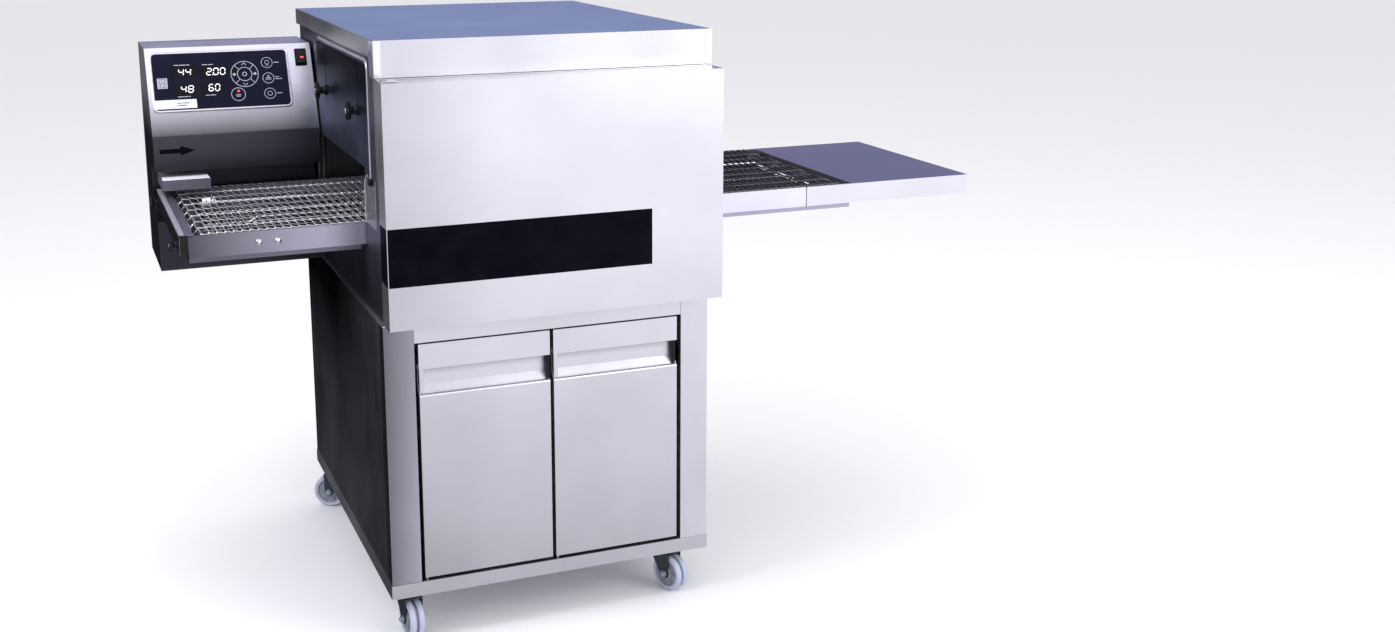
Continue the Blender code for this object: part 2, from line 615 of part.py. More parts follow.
def belt_and_shafts():
    loop("wire_belt", WIRE, ((DRIVE_X, SHAFT_Z), (IDLER_X, SHAFT_Z)), BELT_R, BELT_T, (BELT_FRONT, BELT_BACK))
    sprocket_ys = [BELT_FRONT + 0.04 + 0.140 * i for i in range(4)]
    wheel_r = BELT_R - BELT_T - 0.001
    for name, x, ends in (
        ("drive_shaft", DRIVE_X, (RAIL_FRONT + 0.0025, 0.7005)),
        ("idler_shaft", IDLER_X, (RAIL_FRONT + 0.0055, RAIL_BACK - 0.0055)),
    ):
        shapes = [rod((x, ends[0], SHAFT_Z), (x, ends[1], SHAFT_Z), SHAFT_R, 16)]
        for y in sprocket_ys:
            shapes.append(rod((x, y, SHAFT_Z), (x, y + 0.010, SHAFT_Z), wheel_r, 16))
        if x == DRIVE_X:
            shapes.append(rod((x, SPROCKET_Y[0], SHAFT_Z), (x, SPROCKET_Y[1], SHAFT_Z), SPROCKET_R, 20))
        solid(name, DARK_STEEL, shapes, origin=(x, 0.42, SHAFT_Z))


def crumb_tray(name, x):
    """A shallow tray whose side flanges ride on the rails' lower lips."""
    lip = RAIL_BOTTOM + SHEET + GAP
    wall = RAIL_FRONT + RAIL_LIP + GAP
    width = (wall, RAIL_FRONT + RAIL_BACK - wall)
    low, high, skin = TRAY_Z[0], lip + 0.0015, 0.0015
    pan = box(x, width, (low, high))
    hollow = box((x[0] + skin, x[1] - skin), (width[0] + skin, width[1] - skin), (low + skin, high + 0.01))
    drop = box((x[0] - 0.01, x[1] + 0.01), (width[0] + skin, width[1] - skin), (TRAY_Z[1], high + 0.01))
    flanges = [
        box(x, (wall - 0.005, wall + 0.001), (lip, high)),
        box(x, (width[1] - 0.001, width[1] + 0.005), (lip, high)),
    ]
    solid(name, STEEL, [pan, *flanges], [hollow, drop])


def trays_and_shelf():
    crumb_tray("infeed_crumb_tray", INFEED_TRAY)
    crumb_tray("outfeed_crumb_tray", OUTFEED_TRAY)

    skin, hook = 0.0012, 0.005
    inner = (RAIL_FRONT + skin, RAIL_BACK - skin)
    ends = (SHELF_LEFT - 0.01, SHELF_RIGHT - SHEET)
    outer = box((SHELF_LEFT, SHELF_RIGHT), (RAIL_FRONT, RAIL_BACK), (RAIL_BOTTOM, RAIL_TOP))
    pockets = [
        box((ends[0], SHELF_PLATE), inner, (RAIL_BOTTOM + skin, RAIL_TOP - skin)),
        box((SHELF_PLATE + skin, ends[1]), inner, (RAIL_BOTTOM + skin, RAIL_TOP - skin)),
    ]
    over_belt = box((ends[0], SHELF_PLATE), (RAIL_FRONT + hook, RAIL_BACK - hook), (0.7, RAIL_TOP + 0.1))
    under_plate = box((SHELF_PLATE, ends[1]), inner, (0.7, RAIL_BOTTOM + 0.010))
    solid("exit_shelf", STEEL, [outer], [*pockets, over_belt, under_plate])


# ---------------------------------------------------------------- control box and drive
LEAN = math.atan2(BOX_TOP_FRONT - BOX_FRONT, BOX_TOP - FOLD_Z)


def on_fascia(x, z, out):
    """The place on the leaning control face at x and height z, moved out along its normal."""
    y = BOX_FRONT + (z - FOLD_Z) * math.tan(LEAN)
    place = Matrix.Translation((x, y - out * math.cos(LEAN), z + out * math.sin(LEAN)))
    return place @ Matrix.Rotation(-LEAN, 4, "X")


def control_box():
    def section(inset):
        i = inset
        return [
            (BOX_FRONT + i, FOLD_Z - i * math.tan(LEAN / 2)),
            (BOX_TOP_FRONT + i * (1 - math.sin(LEAN)) / math.cos(LEAN), BOX_TOP - i),
            (BOX_BACK - i, BOX_TOP - i),
            (BOX_BACK - i, BOX_BOTTOM + i),
            (BOX_FRONT + i, BOX_BOTTOM + i),
            (BOX_FRONT + i, NOTCH_Z[0] - i),
            (NOTCH_BACK + i, NOTCH_Z[0] - i),
            (NOTCH_BACK + i, NOTCH_Z[1] + i),
            (BOX_FRONT + i, NOTCH_Z[1] + i),
        ]

    shell = prism(section(0), (BOX_LEFT, 0), ALONG_X)
    hollow = prism(section(SHEET), (BOX_LEFT + SHEET, 0.1), ALONG_X)
    slot_z = (NOTCH_Z[0] - 0.01, NOTCH_Z[0] + 0.01)
    chain_slot = box((DRIVE_X - 0.031, DRIVE_X + 0.031), (0.684, 0.7005), slot_z)
    switch_hole = box((-0.0115, 0.0115), (-0.02, 0.02), (-0.0185, 0.0185))
    switch_hole.transform(on_fascia(-0.0233, 1.145, 0))
    solid("control_box_casing", STEEL, [shell], [hollow, chain_slot, switch_hole])

    width, height, corner = 0.2925, 0.129, 0.008
    outline = []
    for sx, sz, first in ((1, 1, 0), (-1, 1, 90), (-1, -1, 180), (1, -1, 270)):
        centre = (sx * (width / 2 - corner), sz * (height / 2 - corner))
        outline += arc(centre, corner, first, first + 90, 4)
    panel = prism(outline, (-0.0013, 0.0013), ALONG_Y)
    panel.transform(on_fascia(-0.2038, 1.1025, 0.0016))
    solid("keypad_panel", KEYPAD, [panel])

    rocker = box((-0.0105, 0.0105), (-0.006, 0.006), (-0.0165, 0.0165))
    at = on_fascia(-0.0233, 1.145, 0)
    rocker.transform(at @ Matrix.Rotation(math.radians(-8), 4, "X"))
    solid("rocker_switch", BLACK, [rocker], origin=at.translation)

    guard = box((-0.351, -0.249), (0.572, NOTCH_BACK - GAP), (0.875, 0.898))
    under = box((-0.3495, -0.2505), (0.5735, NOTCH_BACK - 0.002), (0.8, 0.8965))
    solid("chain_guard", STEEL, [guard], [under])


def drive():
    motor = box((DRIVE_X - 0.038, DRIVE_X + 0.038), (0.706, 0.800), (MOTOR_Z - 0.038, MOTOR_Z + 0.038))
    head = rod((DRIVE_X, 0.79, MOTOR_Z), (DRIVE_X, 0.850, MOTOR_Z), 0.030)
    bore = rod((DRIVE_X, 0.69, MOTOR_Z), (DRIVE_X, 0.723, MOTOR_Z), 0.005 + FIT, 16)
    foot_z = (BOX_BOTTOM + SHEET + GAP, MOTOR_Z - 0.037)
    foot = box((DRIVE_X - 0.030, DRIVE_X + 0.030), (0.716, 0.790), foot_z)
    solid("gear_motor", CAST, [motor, head, foot], [bore])
    disc = rod((DRIVE_X, SPROCKET_Y[0], MOTOR_Z), (DRIVE_X, SPROCKET_Y[1], MOTOR_Z), SPROCKET_R, 20)
    stub = rod((DRIVE_X, SPROCKET_Y[0] - 0.001, MOTOR_Z), (DRIVE_X, 0.720, MOTOR_Z), 0.005, 12)
    solid("motor_sprocket", DARK_STEEL, [disc, stub], origin=(DRIVE_X, 0.693, MOTOR_Z))
    centres = ((DRIVE_X, SHAFT_Z), (DRIVE_X, MOTOR_Z))
    loop("drive_chain", DARK_STEEL, centres, SPROCKET_R + 0.0047, 0.004, SPROCKET_Y)


stand_case()
stand_doors()
castors()
oven_case()
chamber()
fan()
front_door()
baffles()
rail("conveyor_front_rail", RAIL_FRONT, 1, END_KNOB_YS[0])
rail("conveyor_rear_rail", RAIL_BACK, -1, END_KNOB_YS[1])
end_bar()
belt_and_shafts()
trays_and_shelf()
control_box()
drive()
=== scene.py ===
"""Looks for the conveyor pizza oven: brushed steel, wire belt, keypad, knobs, castors and studio."""

import json
import math

import bmesh
import bpy
from mathutils import Matrix, Vector


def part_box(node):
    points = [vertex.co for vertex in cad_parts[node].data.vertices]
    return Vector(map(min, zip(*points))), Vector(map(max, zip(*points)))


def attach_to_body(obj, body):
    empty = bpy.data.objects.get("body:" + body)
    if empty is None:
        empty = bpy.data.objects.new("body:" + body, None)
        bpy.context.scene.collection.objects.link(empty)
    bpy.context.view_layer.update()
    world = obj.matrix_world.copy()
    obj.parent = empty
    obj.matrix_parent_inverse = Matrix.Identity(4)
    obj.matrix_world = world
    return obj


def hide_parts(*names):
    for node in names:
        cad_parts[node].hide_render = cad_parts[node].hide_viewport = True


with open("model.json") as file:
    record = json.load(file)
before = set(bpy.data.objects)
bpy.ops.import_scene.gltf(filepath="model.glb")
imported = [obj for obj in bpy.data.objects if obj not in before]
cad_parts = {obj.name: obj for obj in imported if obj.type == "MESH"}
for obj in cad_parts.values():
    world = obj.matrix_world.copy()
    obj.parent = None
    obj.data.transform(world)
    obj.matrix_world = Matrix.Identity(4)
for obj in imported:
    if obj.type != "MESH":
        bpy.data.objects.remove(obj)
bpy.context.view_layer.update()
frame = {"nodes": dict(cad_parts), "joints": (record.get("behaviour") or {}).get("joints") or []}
NODES = frame["nodes"]

ROOT = "oven_and_stand"
X0, Y0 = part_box("stand_base")[0][0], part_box("stand_base")[0][1]  # the cabinet's front left corner


def at(x, y, z):
    """A point given from the cabinet's front left corner on the floor."""
    return Vector((X0 + x, Y0 + y, z))


def local(node):
    """A CAD node's box, measured from the same corner."""
    low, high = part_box(node)
    shift = Vector((X0, Y0, 0))
    return Vector(low) - shift, Vector(high) - shift


# ------------------------------------------------------------------ materials
def new_material(name, settings):
    made = bpy.data.materials.new(name)
    made.use_nodes = True
    shader = made.node_tree.nodes["Principled BSDF"]
    for key, value in settings.items():
        shader.inputs[key].default_value = value
    return made, made.node_tree, shader


def node(tree, kind, **settings):
    """A shader node with its inputs, or its own properties, set by name."""
    made = tree.nodes.new(kind)
    for key, value in settings.items():
        if key in made.inputs:
            made.inputs[key].default_value = value
        else:
            setattr(made, key, value)
    return made


def noise(tree, scale, stretch=(1, 1, 1), detail=2.0, rough=0.5):
    """Noise in the object's own space, stretched along its axes."""
    place = node(tree, "ShaderNodeTexCoord")
    mapping = node(tree, "ShaderNodeMapping", Scale=stretch)
    made = node(tree, "ShaderNodeTexNoise", Scale=scale, Detail=detail, Roughness=rough)
    tree.links.new(place.outputs["Object"], mapping.inputs["Vector"])
    tree.links.new(mapping.outputs["Vector"], made.inputs["Vector"])
    return made.outputs["Fac"]


def remap(tree, value, low, high, start=0.3, end=0.7, curve="LINEAR"):
    """Low where the value is at start, high where it is at end."""
    spans = {"From Min": start, "From Max": end, "To Min": low, "To Max": high}
    made = node(tree, "ShaderNodeMapRange", interpolation_type=curve, **spans)
    tree.links.new(value, made.inputs["Value"])
    return made.outputs["Result"]


def blend_colours(tree, factor, first, second):
    made = node(tree, "ShaderNodeMix", data_type="RGBA", A=(*first, 1), B=(*second, 1))
    tree.links.new(factor, made.inputs["Factor"])
    return made.outputs["Result"]


def overlay(tree, under, colour, factor):
    """One fixed colour over what is already there, by a factor."""
    made = node(tree, "ShaderNodeMix", data_type="RGBA", B=(*colour, 1))
    tree.links.new(under, made.inputs["A"])
    tree.links.new(factor, made.inputs["Factor"])
    return made.outputs["Result"]


def axes(tree, space):
    """X, Y and Z of the shaded point ("Object") or of the way it faces ("Normal")."""
    coord = node(tree, "ShaderNodeTexCoord")
    parts = node(tree, "ShaderNodeSeparateXYZ")
    tree.links.new(coord.outputs[space], parts.inputs["Vector"])
    return parts.outputs


def add_bump(tree, shader, height, strength, distance):
    made = node(tree, "ShaderNodeBump", Strength=strength, Distance=distance)
    tree.links.new(height, made.inputs["Height"])
    tree.links.new(made.outputs["Normal"], shader.inputs["Normal"])


GRAIN = {"x": (0.012, 1, 1), "y": (1, 0.012, 1), "z": (1, 1, 0.012)}  # draws the noise out along the axis
HEAT_TINT = (0.22, 0.15, 0.10)
BUMP_DEPTH = 0.0002


def brushed(
    name, colour, rough, grain="z",
    spread=0.06, strength=0.10, dirt=0.0, metallic=1.0, painted_light_and_shade=(), top=None, glance=1.0,
):
    """Satin steel: fine lines along one axis and faint clouding. Where asked, dirt adds heat tint,
    top is a painted reflection tone for faces that look up, and glance dims the edge reflection.

    A fade is painted light or shade: (axis, start, end, tone at start, tone at end) in world
    places. Three more values (axis, near, far) limit it: it has no effect at near and its full effect at far."""
    edge_tone = (glance, glance, glance, 1)
    settings = {"Metallic": metallic, "Specular Tint": edge_tone}
    made, tree, shader = new_material(name, settings)
    lines = noise(tree, 900, GRAIN[grain], detail=3)
    clouds = noise(tree, 5.0, detail=3)
    shade = tuple(c * 0.90 for c in colour)
    tint = blend_colours(tree, remap(tree, clouds, 0, 1), shade, colour)
    # top: a painted reflection, a second tone blended in on faces that look up
    if top:
        tint = overlay(tree, tint, top, remap(tree, axes(tree, "Normal")["Z"], 0, 1, 0.5, 0.95))
    if dirt:
        patches = noise(tree, 14.0, detail=4, rough=0.6)
        tint = overlay(tree, tint, HEAT_TINT, remap(tree, patches, 0, dirt, 0.5, 0.75))
    # each fade is painted light or shade: it scales the colour along one axis
    for axis, start, end, first, last, *only in painted_light_and_shade:
        place = axes(tree, "Object")
        amount = remap(tree, place[axis], first, last, start, end)
        if only:
            along, near, far = only
            part = node(tree, "ShaderNodeMix", data_type="FLOAT", A=1.0)
            tree.links.new(amount, part.inputs["B"])
            tree.links.new(remap(tree, place[along], 0, 1, near, far), part.inputs["Factor"])
            amount = part.outputs["Result"]
        scale = node(tree, "ShaderNodeVectorMath", operation="SCALE")
        tree.links.new(tint, scale.inputs[0])
        tree.links.new(amount, scale.inputs["Scale"])
        tint = scale.outputs["Vector"]
    tree.links.new(tint, shader.inputs["Base Color"])
    total = node(tree, "ShaderNodeMath", operation="ADD")
    tree.links.new(remap(tree, lines, rough - spread, rough + spread), total.inputs[0])
    tree.links.new(remap(tree, clouds, -0.03, 0.03), total.inputs[1])
    tree.links.new(total.outputs["Value"], shader.inputs["Roughness"])
    add_bump(tree, shader, lines, strength, BUMP_DEPTH)
    return made


def moulded(name, colour, rough, grain_scale=600, strength=0.08, coat=0.0, metallic=0.0, specular=0.5):
    """Moulded or painted surface with a fine grain and slight colour drift."""
    settings = {"Metallic": metallic, "Specular IOR Level": specular}
    settings |= {"Coat Weight": coat, "Coat Roughness": 0.12}
    made, tree, shader = new_material(name, settings)
    drift = noise(tree, 22, detail=3)
    grain = noise(tree, grain_scale, detail=2)
    light = tuple(min(1, c * 1.12 + 0.002) for c in colour)
    tree.links.new(blend_colours(tree, remap(tree, drift, 0, 1), colour, light), shader.inputs["Base Color"])
    tree.links.new(remap(tree, grain, rough - 0.05, rough + 0.05), shader.inputs["Roughness"])
    add_bump(tree, shader, grain, strength, BUMP_DEPTH)
    return made


def glowing(name, colour, power):
    """A lit figure or lamp."""
    body = (*[c * 0.3 for c in colour], 1)
    made, tree, shader = new_material(name, {"Base Color": body, "Emission Strength": power})
    drift = noise(tree, 300)
    dimmer = tuple(c * 0.85 for c in colour)
    light = blend_colours(tree, remap(tree, drift, 0, 1), dimmer, colour)
    tree.links.new(light, shader.inputs["Emission Color"])
    return made


def fibre(name, colour, scale):
    """Insulation board or braid, with its strands upright."""
    made, tree, shader = new_material(name, {"Roughness": 0.95})
    strands = noise(tree, scale, (1, 1, 0.2), detail=5)
    dark = tuple(c * 0.6 for c in colour)
    tree.links.new(blend_colours(tree, remap(tree, strands, 0, 1), dark, colour), shader.inputs["Base Color"])
    add_bump(tree, shader, strands, 0.6, 0.001)
    return made


SHEET = (0.76, 0.755, 0.78)
M = {
    # painted shade: darker towards the floor
    "front": brushed("steel_front_painted_shade", SHEET, 0.38, "x", painted_light_and_shade=[("Z", 0.12, 0.55, 0.86, 1.0)]),
    "grip": brushed(
        "steel_grip_door_painted_light_and_shade", SHEET, 0.38, "x",
        painted_light_and_shade=[
            # painted shade: darker towards the floor
            ("Z", 0.12, 0.55, 0.86, 1.0),
            # painted shadow under the grip's upper lip and a painted dark line along its lower fold; the
            # fades that rise again give the tone back above each
            ("Z", 0.566, 0.5835, 1.0, 0.62),
            ("Z", 0.5838, 0.5846, 1.0, 1.60),
            ("Z", 0.524, 0.531, 1.0, 0.80),
            ("Z", 0.532, 0.536, 1.0, 1.28),
            # painted shade on the left part of the left door, below the grip
            ("X", X0 + 0.05, X0 + 0.33, 0.86, 1.0, "Z", 0.55, 0.20),
        ],
    ),
    # painted shade: darker towards the door's left end
    "door": brushed("steel_door_painted_shade", SHEET, 0.38, "x", painted_light_and_shade=[("X", X0, X0 + 0.20, 0.80, 1.0)]),
    # painted reflection: a bluish tone on faces that look up
    "cover": brushed("steel_cover_painted_top_reflection", (0.68, 0.68, 0.70), 0.36, "x", top=(0.57, 0.71, 0.93)),
    # painted reflection: a darker, bluish tone on faces that look up
    "shelf": brushed("steel_shelf_painted_top_reflection", SHEET, 0.36, "x", top=(0.46, 0.44, 0.56)),
    "upright": brushed("steel_upright", SHEET, 0.38, "z"),
    # painted shade: darker steel than the sheet; the front post darker at its outer edge and higher up, the
    # side panel darker behind the post and nearly black high up at the back
    "left": brushed(
        "steel_left_painted_shade", (0.60, 0.60, 0.66), 0.34, "z",
        painted_light_and_shade=[
            ("X", X0 + 0.004, X0 + 0.060, 0.42, 0.80, "Y", Y0 + 0.05, Y0 + 0.03),
            ("Z", 0.40, 0.62, 1.0, 0.12, "Y", Y0 + 0.20, Y0 + 0.50),
            ("Z", 0.12, 0.62, 1.22, 0.80, "Y", Y0 + 0.05, Y0 + 0.03),
            ("Y", Y0 + 0.03, Y0 + 0.08, 1.0, 0.78),
        ],
        glance=0.2,
    ),
    "back": brushed("steel_back", SHEET, 0.42, "z", metallic=0.8),
    # painted shade: darker, bluish steel than the sheet, darker still towards the bottom
    "side": brushed(
        "steel_side_painted_shade", (0.36, 0.36, 0.44), 0.34, "z",
        painted_light_and_shade=[("Z", 0.70, 0.86, 0.62, 1.0)], glance=0.5,
    ),
    # painted light and shade: lighter than the sheet, nearly black low down at the front, and darker towards
    # the back
    "casing": brushed(
        "steel_casing_painted_light_and_shade", (0.97, 0.96, 1.00), 0.34, "x",
        painted_light_and_shade=[
            ("Z", 0.98, 1.09, 0.06, 1.0, "Y", Y0 + 0.862, Y0 + 0.835),
            ("Y", Y0 + 0.82, Y0 + 0.864, 1.0, 0.75),
        ],
    ),
    # painted shade: nearly black steel for the control box's lower faces, a little lighter higher up
    "shade": brushed("steel_painted_shade", (0.07, 0.065, 0.078), 0.34, "x", painted_light_and_shade=[("Z", 0.915, 0.955, 0.6, 1.1)]),
    "rim": brushed("steel_rim", (0.90, 0.89, 0.92), 0.28, "x", strength=0.04),
    # painted shade: darker towards the infeed end, nearly black at its far end
    "rail": brushed(
        "steel_rail_painted_shade", (0.78, 0.78, 0.90), 0.33, "x",
        painted_light_and_shade=[("X", X0 - 0.40, X0 + 0.10, 0.02, 1.0)],
    ),
    # painted shade: darker steel than the sheet, darker still towards the infeed end
    "tray": brushed(
        "steel_tray_painted_shade", (0.42, 0.42, 0.50), 0.36, "x",
        painted_light_and_shade=[("X", X0 - 0.3, X0 + 0.5, 0.35, 1.0)],
    ),
    # painted highlight: lighter, half-diffuse steel for the end bar's outer lip
    "tint": brushed("steel_lip_painted_highlight", (0.50, 0.49, 0.58), 0.30, "y", metallic=0.5),
    "end_bar": brushed("steel_end_bar", (0.50, 0.50, 0.58), 0.33, "y"),
    # painted shade: dark, non-metal steel on the chain guard's front
    "guard": brushed("steel_guard_painted_shade", (0.11, 0.11, 0.15), 0.30, "x", metallic=0.0),
    # painted light: near-white, non-metal sheet on the chain guard's top
    "painted_top_light": brushed("steel_guard_painted_top_light", (0.88, 0.89, 1.0), 0.34, "x", metallic=0.0),
    "inner": brushed("steel_inner", (0.13, 0.125, 0.13), 0.42, "x", dirt=0.5),
    # painted shade: bluish steel, darker towards the top
    "baffle": brushed(
        "steel_baffle_painted_shade", (0.46, 0.52, 0.72), 0.32, "z",
        painted_light_and_shade=[("Z", 1.02, 1.15, 0.90, 0.10)], glance=0.3,
    ),
    "bright": brushed("steel_bright", (0.46, 0.46, 0.56), 0.26, "z", strength=0.03, metallic=0.5),
    # heat tint in patches, and painted shade: darker towards the outfeed end
    "wire": brushed(
        "wire_bright_painted_shade", (0.74, 0.73, 0.75), 0.28, "x", strength=0.03, dirt=0.20, metallic=0.75,
        painted_light_and_shade=[("X", X0 + 0.55, X0 + 0.75, 1.0, 0.22)],
    ),
    "rod": brushed("rod_bright", (0.90, 0.89, 0.88), 0.20, "x", strength=0.02),
    "dark_steel": brushed("steel_dark", (0.20, 0.19, 0.21), 0.42, "y", dirt=0.4),
    # painted shade: near-black steel with heat-tint patches, for the tray floors and tunnel mouths
    "shade_and_heat_tint": brushed("steel_painted_shade_heat_tint", (0.06, 0.05, 0.05), 0.55, "x", dirt=0.4),
    "zinc": brushed("zinc_plate", (0.34, 0.42, 0.46), 0.38, "z", strength=0.05, metallic=0.7),
    # painted shade: near-black steel on the castor forks
    "fork": brushed("fork_steel_painted_shade", (0.045, 0.055, 0.065), 0.40, "z", strength=0.05, metallic=0.5),
    "heater": brushed("heater_sheath", (0.16, 0.14, 0.13), 0.55, "x", dirt=0.3),
    "black": moulded("black_plastic", (0.004, 0.004, 0.006), 0.42, specular=0.25),
    "film": moulded("keypad_film", (0.003, 0.004, 0.015), 0.30, 900, 0.02, specular=0.12),
    "window": moulded("display_window", (0.0005, 0.0005, 0.002), 0.20, 900, 0.0, specular=0.2),
    "band": moulded("band_film", (0.001, 0.001, 0.005), 0.45, 500, 0.04, specular=0.04),
    "ink": moulded("ink_pale", (0.42, 0.44, 0.52), 0.5),
    "sticker": moulded("sticker", (0.72, 0.73, 0.78), 0.55),
    "bush": moulded("white_nylon", (0.80, 0.82, 0.80), 0.35),
    "tread": moulded("castor_tread", (0.40, 0.43, 0.56), 0.45, 300),
    "hub": moulded("castor_hub", (0.22, 0.24, 0.29), 0.45, 300),
    "motor": moulded("motor_paint", (0.05, 0.055, 0.065), 0.45, 250, 0.2),
    "wool": fibre("insulation_board", (0.72, 0.66, 0.50), 60),
    "braid": fibre("glass_braid", (0.40, 0.38, 0.34), 400),
    "digits": glowing("display_digits", (0.95, 0.97, 1.0), 1.3),
    "lamp": glowing("red_lamp", (1.0, 0.06, 0.04), 1.7),
}

FINISH = {
    "front": ["oven_front_frame", "stand_base"],
    "grip": ["stand_left_door", "stand_right_door"],
    "door": ["front_door_shell"],
    "cover": ["oven_top_cover"],
    "shelf": ["exit_shelf"],
    "upright": ["stand_right_side", "stand_top_frame"],
    "left": ["stand_left_side"],
    "back": ["stand_back_panel", "oven_back_panel"],
    "side": ["oven_infeed_side", "oven_outfeed_side", "oven_base_pan"],
    "casing": ["control_box_casing"],
    "rail": ["conveyor_front_rail", "conveyor_rear_rail"],
    "tray": ["infeed_crumb_tray", "outfeed_crumb_tray"],
    "end_bar": ["conveyor_end_bar"],
    "guard": ["chain_guard"],
    "inner": ["chamber_liner", "upper_jet_plate", "lower_jet_plate", "front_door_liner", "convection_fan"],
    "baffle": ["infeed_baffle", "outfeed_baffle"],
    "dark_steel": ["drive_shaft", "idler_shaft", "motor_sprocket", "drive_chain"],
    "zinc": [
        "left_door_hinge_rod", "right_door_hinge_rod",
        "door_hinge_pin_upper", "door_hinge_pin_lower",
    ],
    "fork": [name for name in NODES if name.endswith("_fork")],
    "heater": ["upper_heating_element", "lower_heating_element"],
    "motor": ["gear_motor", "fan_motor"],
    "wool": ["insulation_jacket"],
    "braid": ["door_seal"],
    "film": ["keypad_panel"],
    "black": ["rocker_switch"],
}


def ease_edges(thing, width, segments=2):
    edge = thing.modifiers.new("edge", "BEVEL")
    edge.width = width
    edge.segments = segments
    edge.limit_method = "ANGLE"
    edge.angle_limit = math.radians(35)


def dress_cad():
    """New materials on the CAD nodes, with a small folded or ground edge on all but the
    insulation and the heating elements."""
    for key, names in FINISH.items():
        for name in names:
            thing = NODES[name]
            for slot in thing.material_slots:
                slot.material = M[key]
            if key not in ("wool", "heater"):
                ease_edges(thing, 0.0006)


# ------------------------------------------------------------------ shapes
def add_object(name, data):
    thing = bpy.data.objects.new(name, data)
    bpy.context.scene.collection.objects.link(thing)
    return thing


def attach(thing, body, replaces):
    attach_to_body(thing, body)
    if replaces:
        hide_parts(*replaces)


def finish_piece(bm, name, material, body, bevel=0.0, segments=2, smooth=True, replaces=()):
    """Turn a bmesh into one named piece that rides with a body."""
    bmesh.ops.recalc_face_normals(bm, faces=bm.faces)
    mesh = bpy.data.meshes.new("piece")
    bm.to_mesh(mesh)
    bm.free()
    mesh.materials.append(M[material])
    if smooth:
        mesh.shade_smooth()
        mesh.set_sharp_from_angle(angle=math.radians(40))
    thing = add_object(name, mesh)
    if bevel:
        ease_edges(thing, bevel, segments)
    attach(thing, body, replaces)


def add_block(bm, low, high, matrix=None):
    """A block between two corners; matrix places it where it isn't square to the axes."""
    low, high = Vector(low), Vector(high)
    made = bmesh.ops.create_cube(bm, size=1)["verts"]
    bmesh.ops.scale(bm, vec=high - low, verts=made)
    bmesh.ops.translate(bm, vec=(low + high) / 2, verts=made)
    if matrix is not None:
        bmesh.ops.transform(bm, matrix=matrix, verts=made)


def blocks(name, material, body, boxes, bevel, segments=2):
    """One piece made of blocks, each between two corners measured from the cabinet's."""
    bm = bmesh.new()
    for low, high in boxes:
        add_block(bm, at(*low), at(*high))
    finish_piece(bm, name, material, body, bevel=bevel, segments=segments)


def skin(bm, rows, closed=False):
    """Quads between each loop of corners and the next and, if closed, from last to first."""
    for one, two in zip(rows, rows[1:] + rows[:1] if closed else rows[1:]):
        for i in range(len(one)):
            j = (i + 1) % len(one)
            bm.faces.new((one[i], one[j], two[j], two[i]))


def polar(radius, angle, centre=(0, 0)):
    return centre[0] + radius * math.cos(angle), centre[1] + radius * math.sin(angle)


def add_prism(bm, outline, thickness, matrix):
    """An outline in the matrix's X and Y, given thickness along its Z."""
    lower = [bm.verts.new(matrix @ Vector((x, y, 0))) for x, y in outline]
    upper = [bm.verts.new(matrix @ Vector((x, y, thickness))) for x, y in outline]
    bm.faces.new(lower)
    bm.faces.new(list(reversed(upper)))
    count = len(outline)
    for i in range(count):
        j = (i + 1) % count
        bm.faces.new((lower[i], upper[i], upper[j], lower[j]))


def add_ring(bm, outer, inner, thickness, matrix):
    """A flat ring between two outlines of equal length."""
    rows = []
    for outline, height in ((outer, 0), (outer, thickness), (inner, thickness), (inner, 0)):
        rows.append([bm.verts.new(matrix @ Vector((x, y, height))) for x, y in outline])
    skin(bm, rows, closed=True)


def add_lathe(bm, profile, matrix, steps=32):
    """A (radius, height) profile turned round the matrix's Z; ends at radius 0 close it."""
    rows = []
    for radius, height in profile:
        if radius < 1e-6:
            rows.append([bm.verts.new(matrix @ Vector((0, 0, height)))])
        else:
            ring = [Vector((*point, height)) for point in circle(radius, steps)]
            rows.append([bm.verts.new(matrix @ point) for point in ring])
    for one, two in zip(rows, rows[1:]):
        for i in range(steps):
            j = (i + 1) % steps
            if len(one) == 1 and len(two) == 1:
                continue
            if len(one) == 1:
                bm.faces.new((one[0], two[i], two[j]))
            elif len(two) == 1:
                bm.faces.new((one[i], two[0], one[j]))
            else:
                bm.faces.new((one[i], two[i], two[j], one[j]))


def circle(radius, steps=40, centre=(0, 0)):
    return [polar(radius, 2 * math.pi * i / steps, centre) for i in range(steps)]


def rounded(width, height, radius, centre=(0, 0), steps=6):
    """A rectangle's outline with rounded corners."""
    points = []
    for sx, sy, first in ((1, 1, 0), (-1, 1, 90), (-1, -1, 180), (1, -1, 270)):
        corner = centre[0] + sx * (width / 2 - radius), centre[1] + sy * (height / 2 - radius)
        for i in range(steps + 1):
            points.append(polar(radius, math.radians(first + 90 * i / steps), corner))
    return points


def wires(name, runs, radius, material, body, sides=1, replaces=()):
    """Round wire along each run of points, as one curve object."""
    curve = bpy.data.curves.new(name, "CURVE")
    curve.dimensions = "3D"
    curve.bevel_depth = radius
    curve.bevel_resolution = sides
    curve.use_fill_caps = True
    for run in runs:
        spline = curve.splines.new("POLY")
        spline.points.add(len(run) - 1)
        for point, place in zip(spline.points, run):
            point.co = (*place, 1)
        spline.use_smooth = True
    curve.materials.append(M[material])
    attach(add_object(name, curve), body, replaces)


def facing(place, out, up=(0, 0, 1)):
    """A frame at place whose Z points out and whose Y points up."""
    z = Vector(out).normalized()
    x = Vector(up).cross(z).normalized()
    y = z.cross(x)
    turn = Matrix((x, y, z)).transposed().to_4x4()
    return Matrix.Translation(place) @ turn


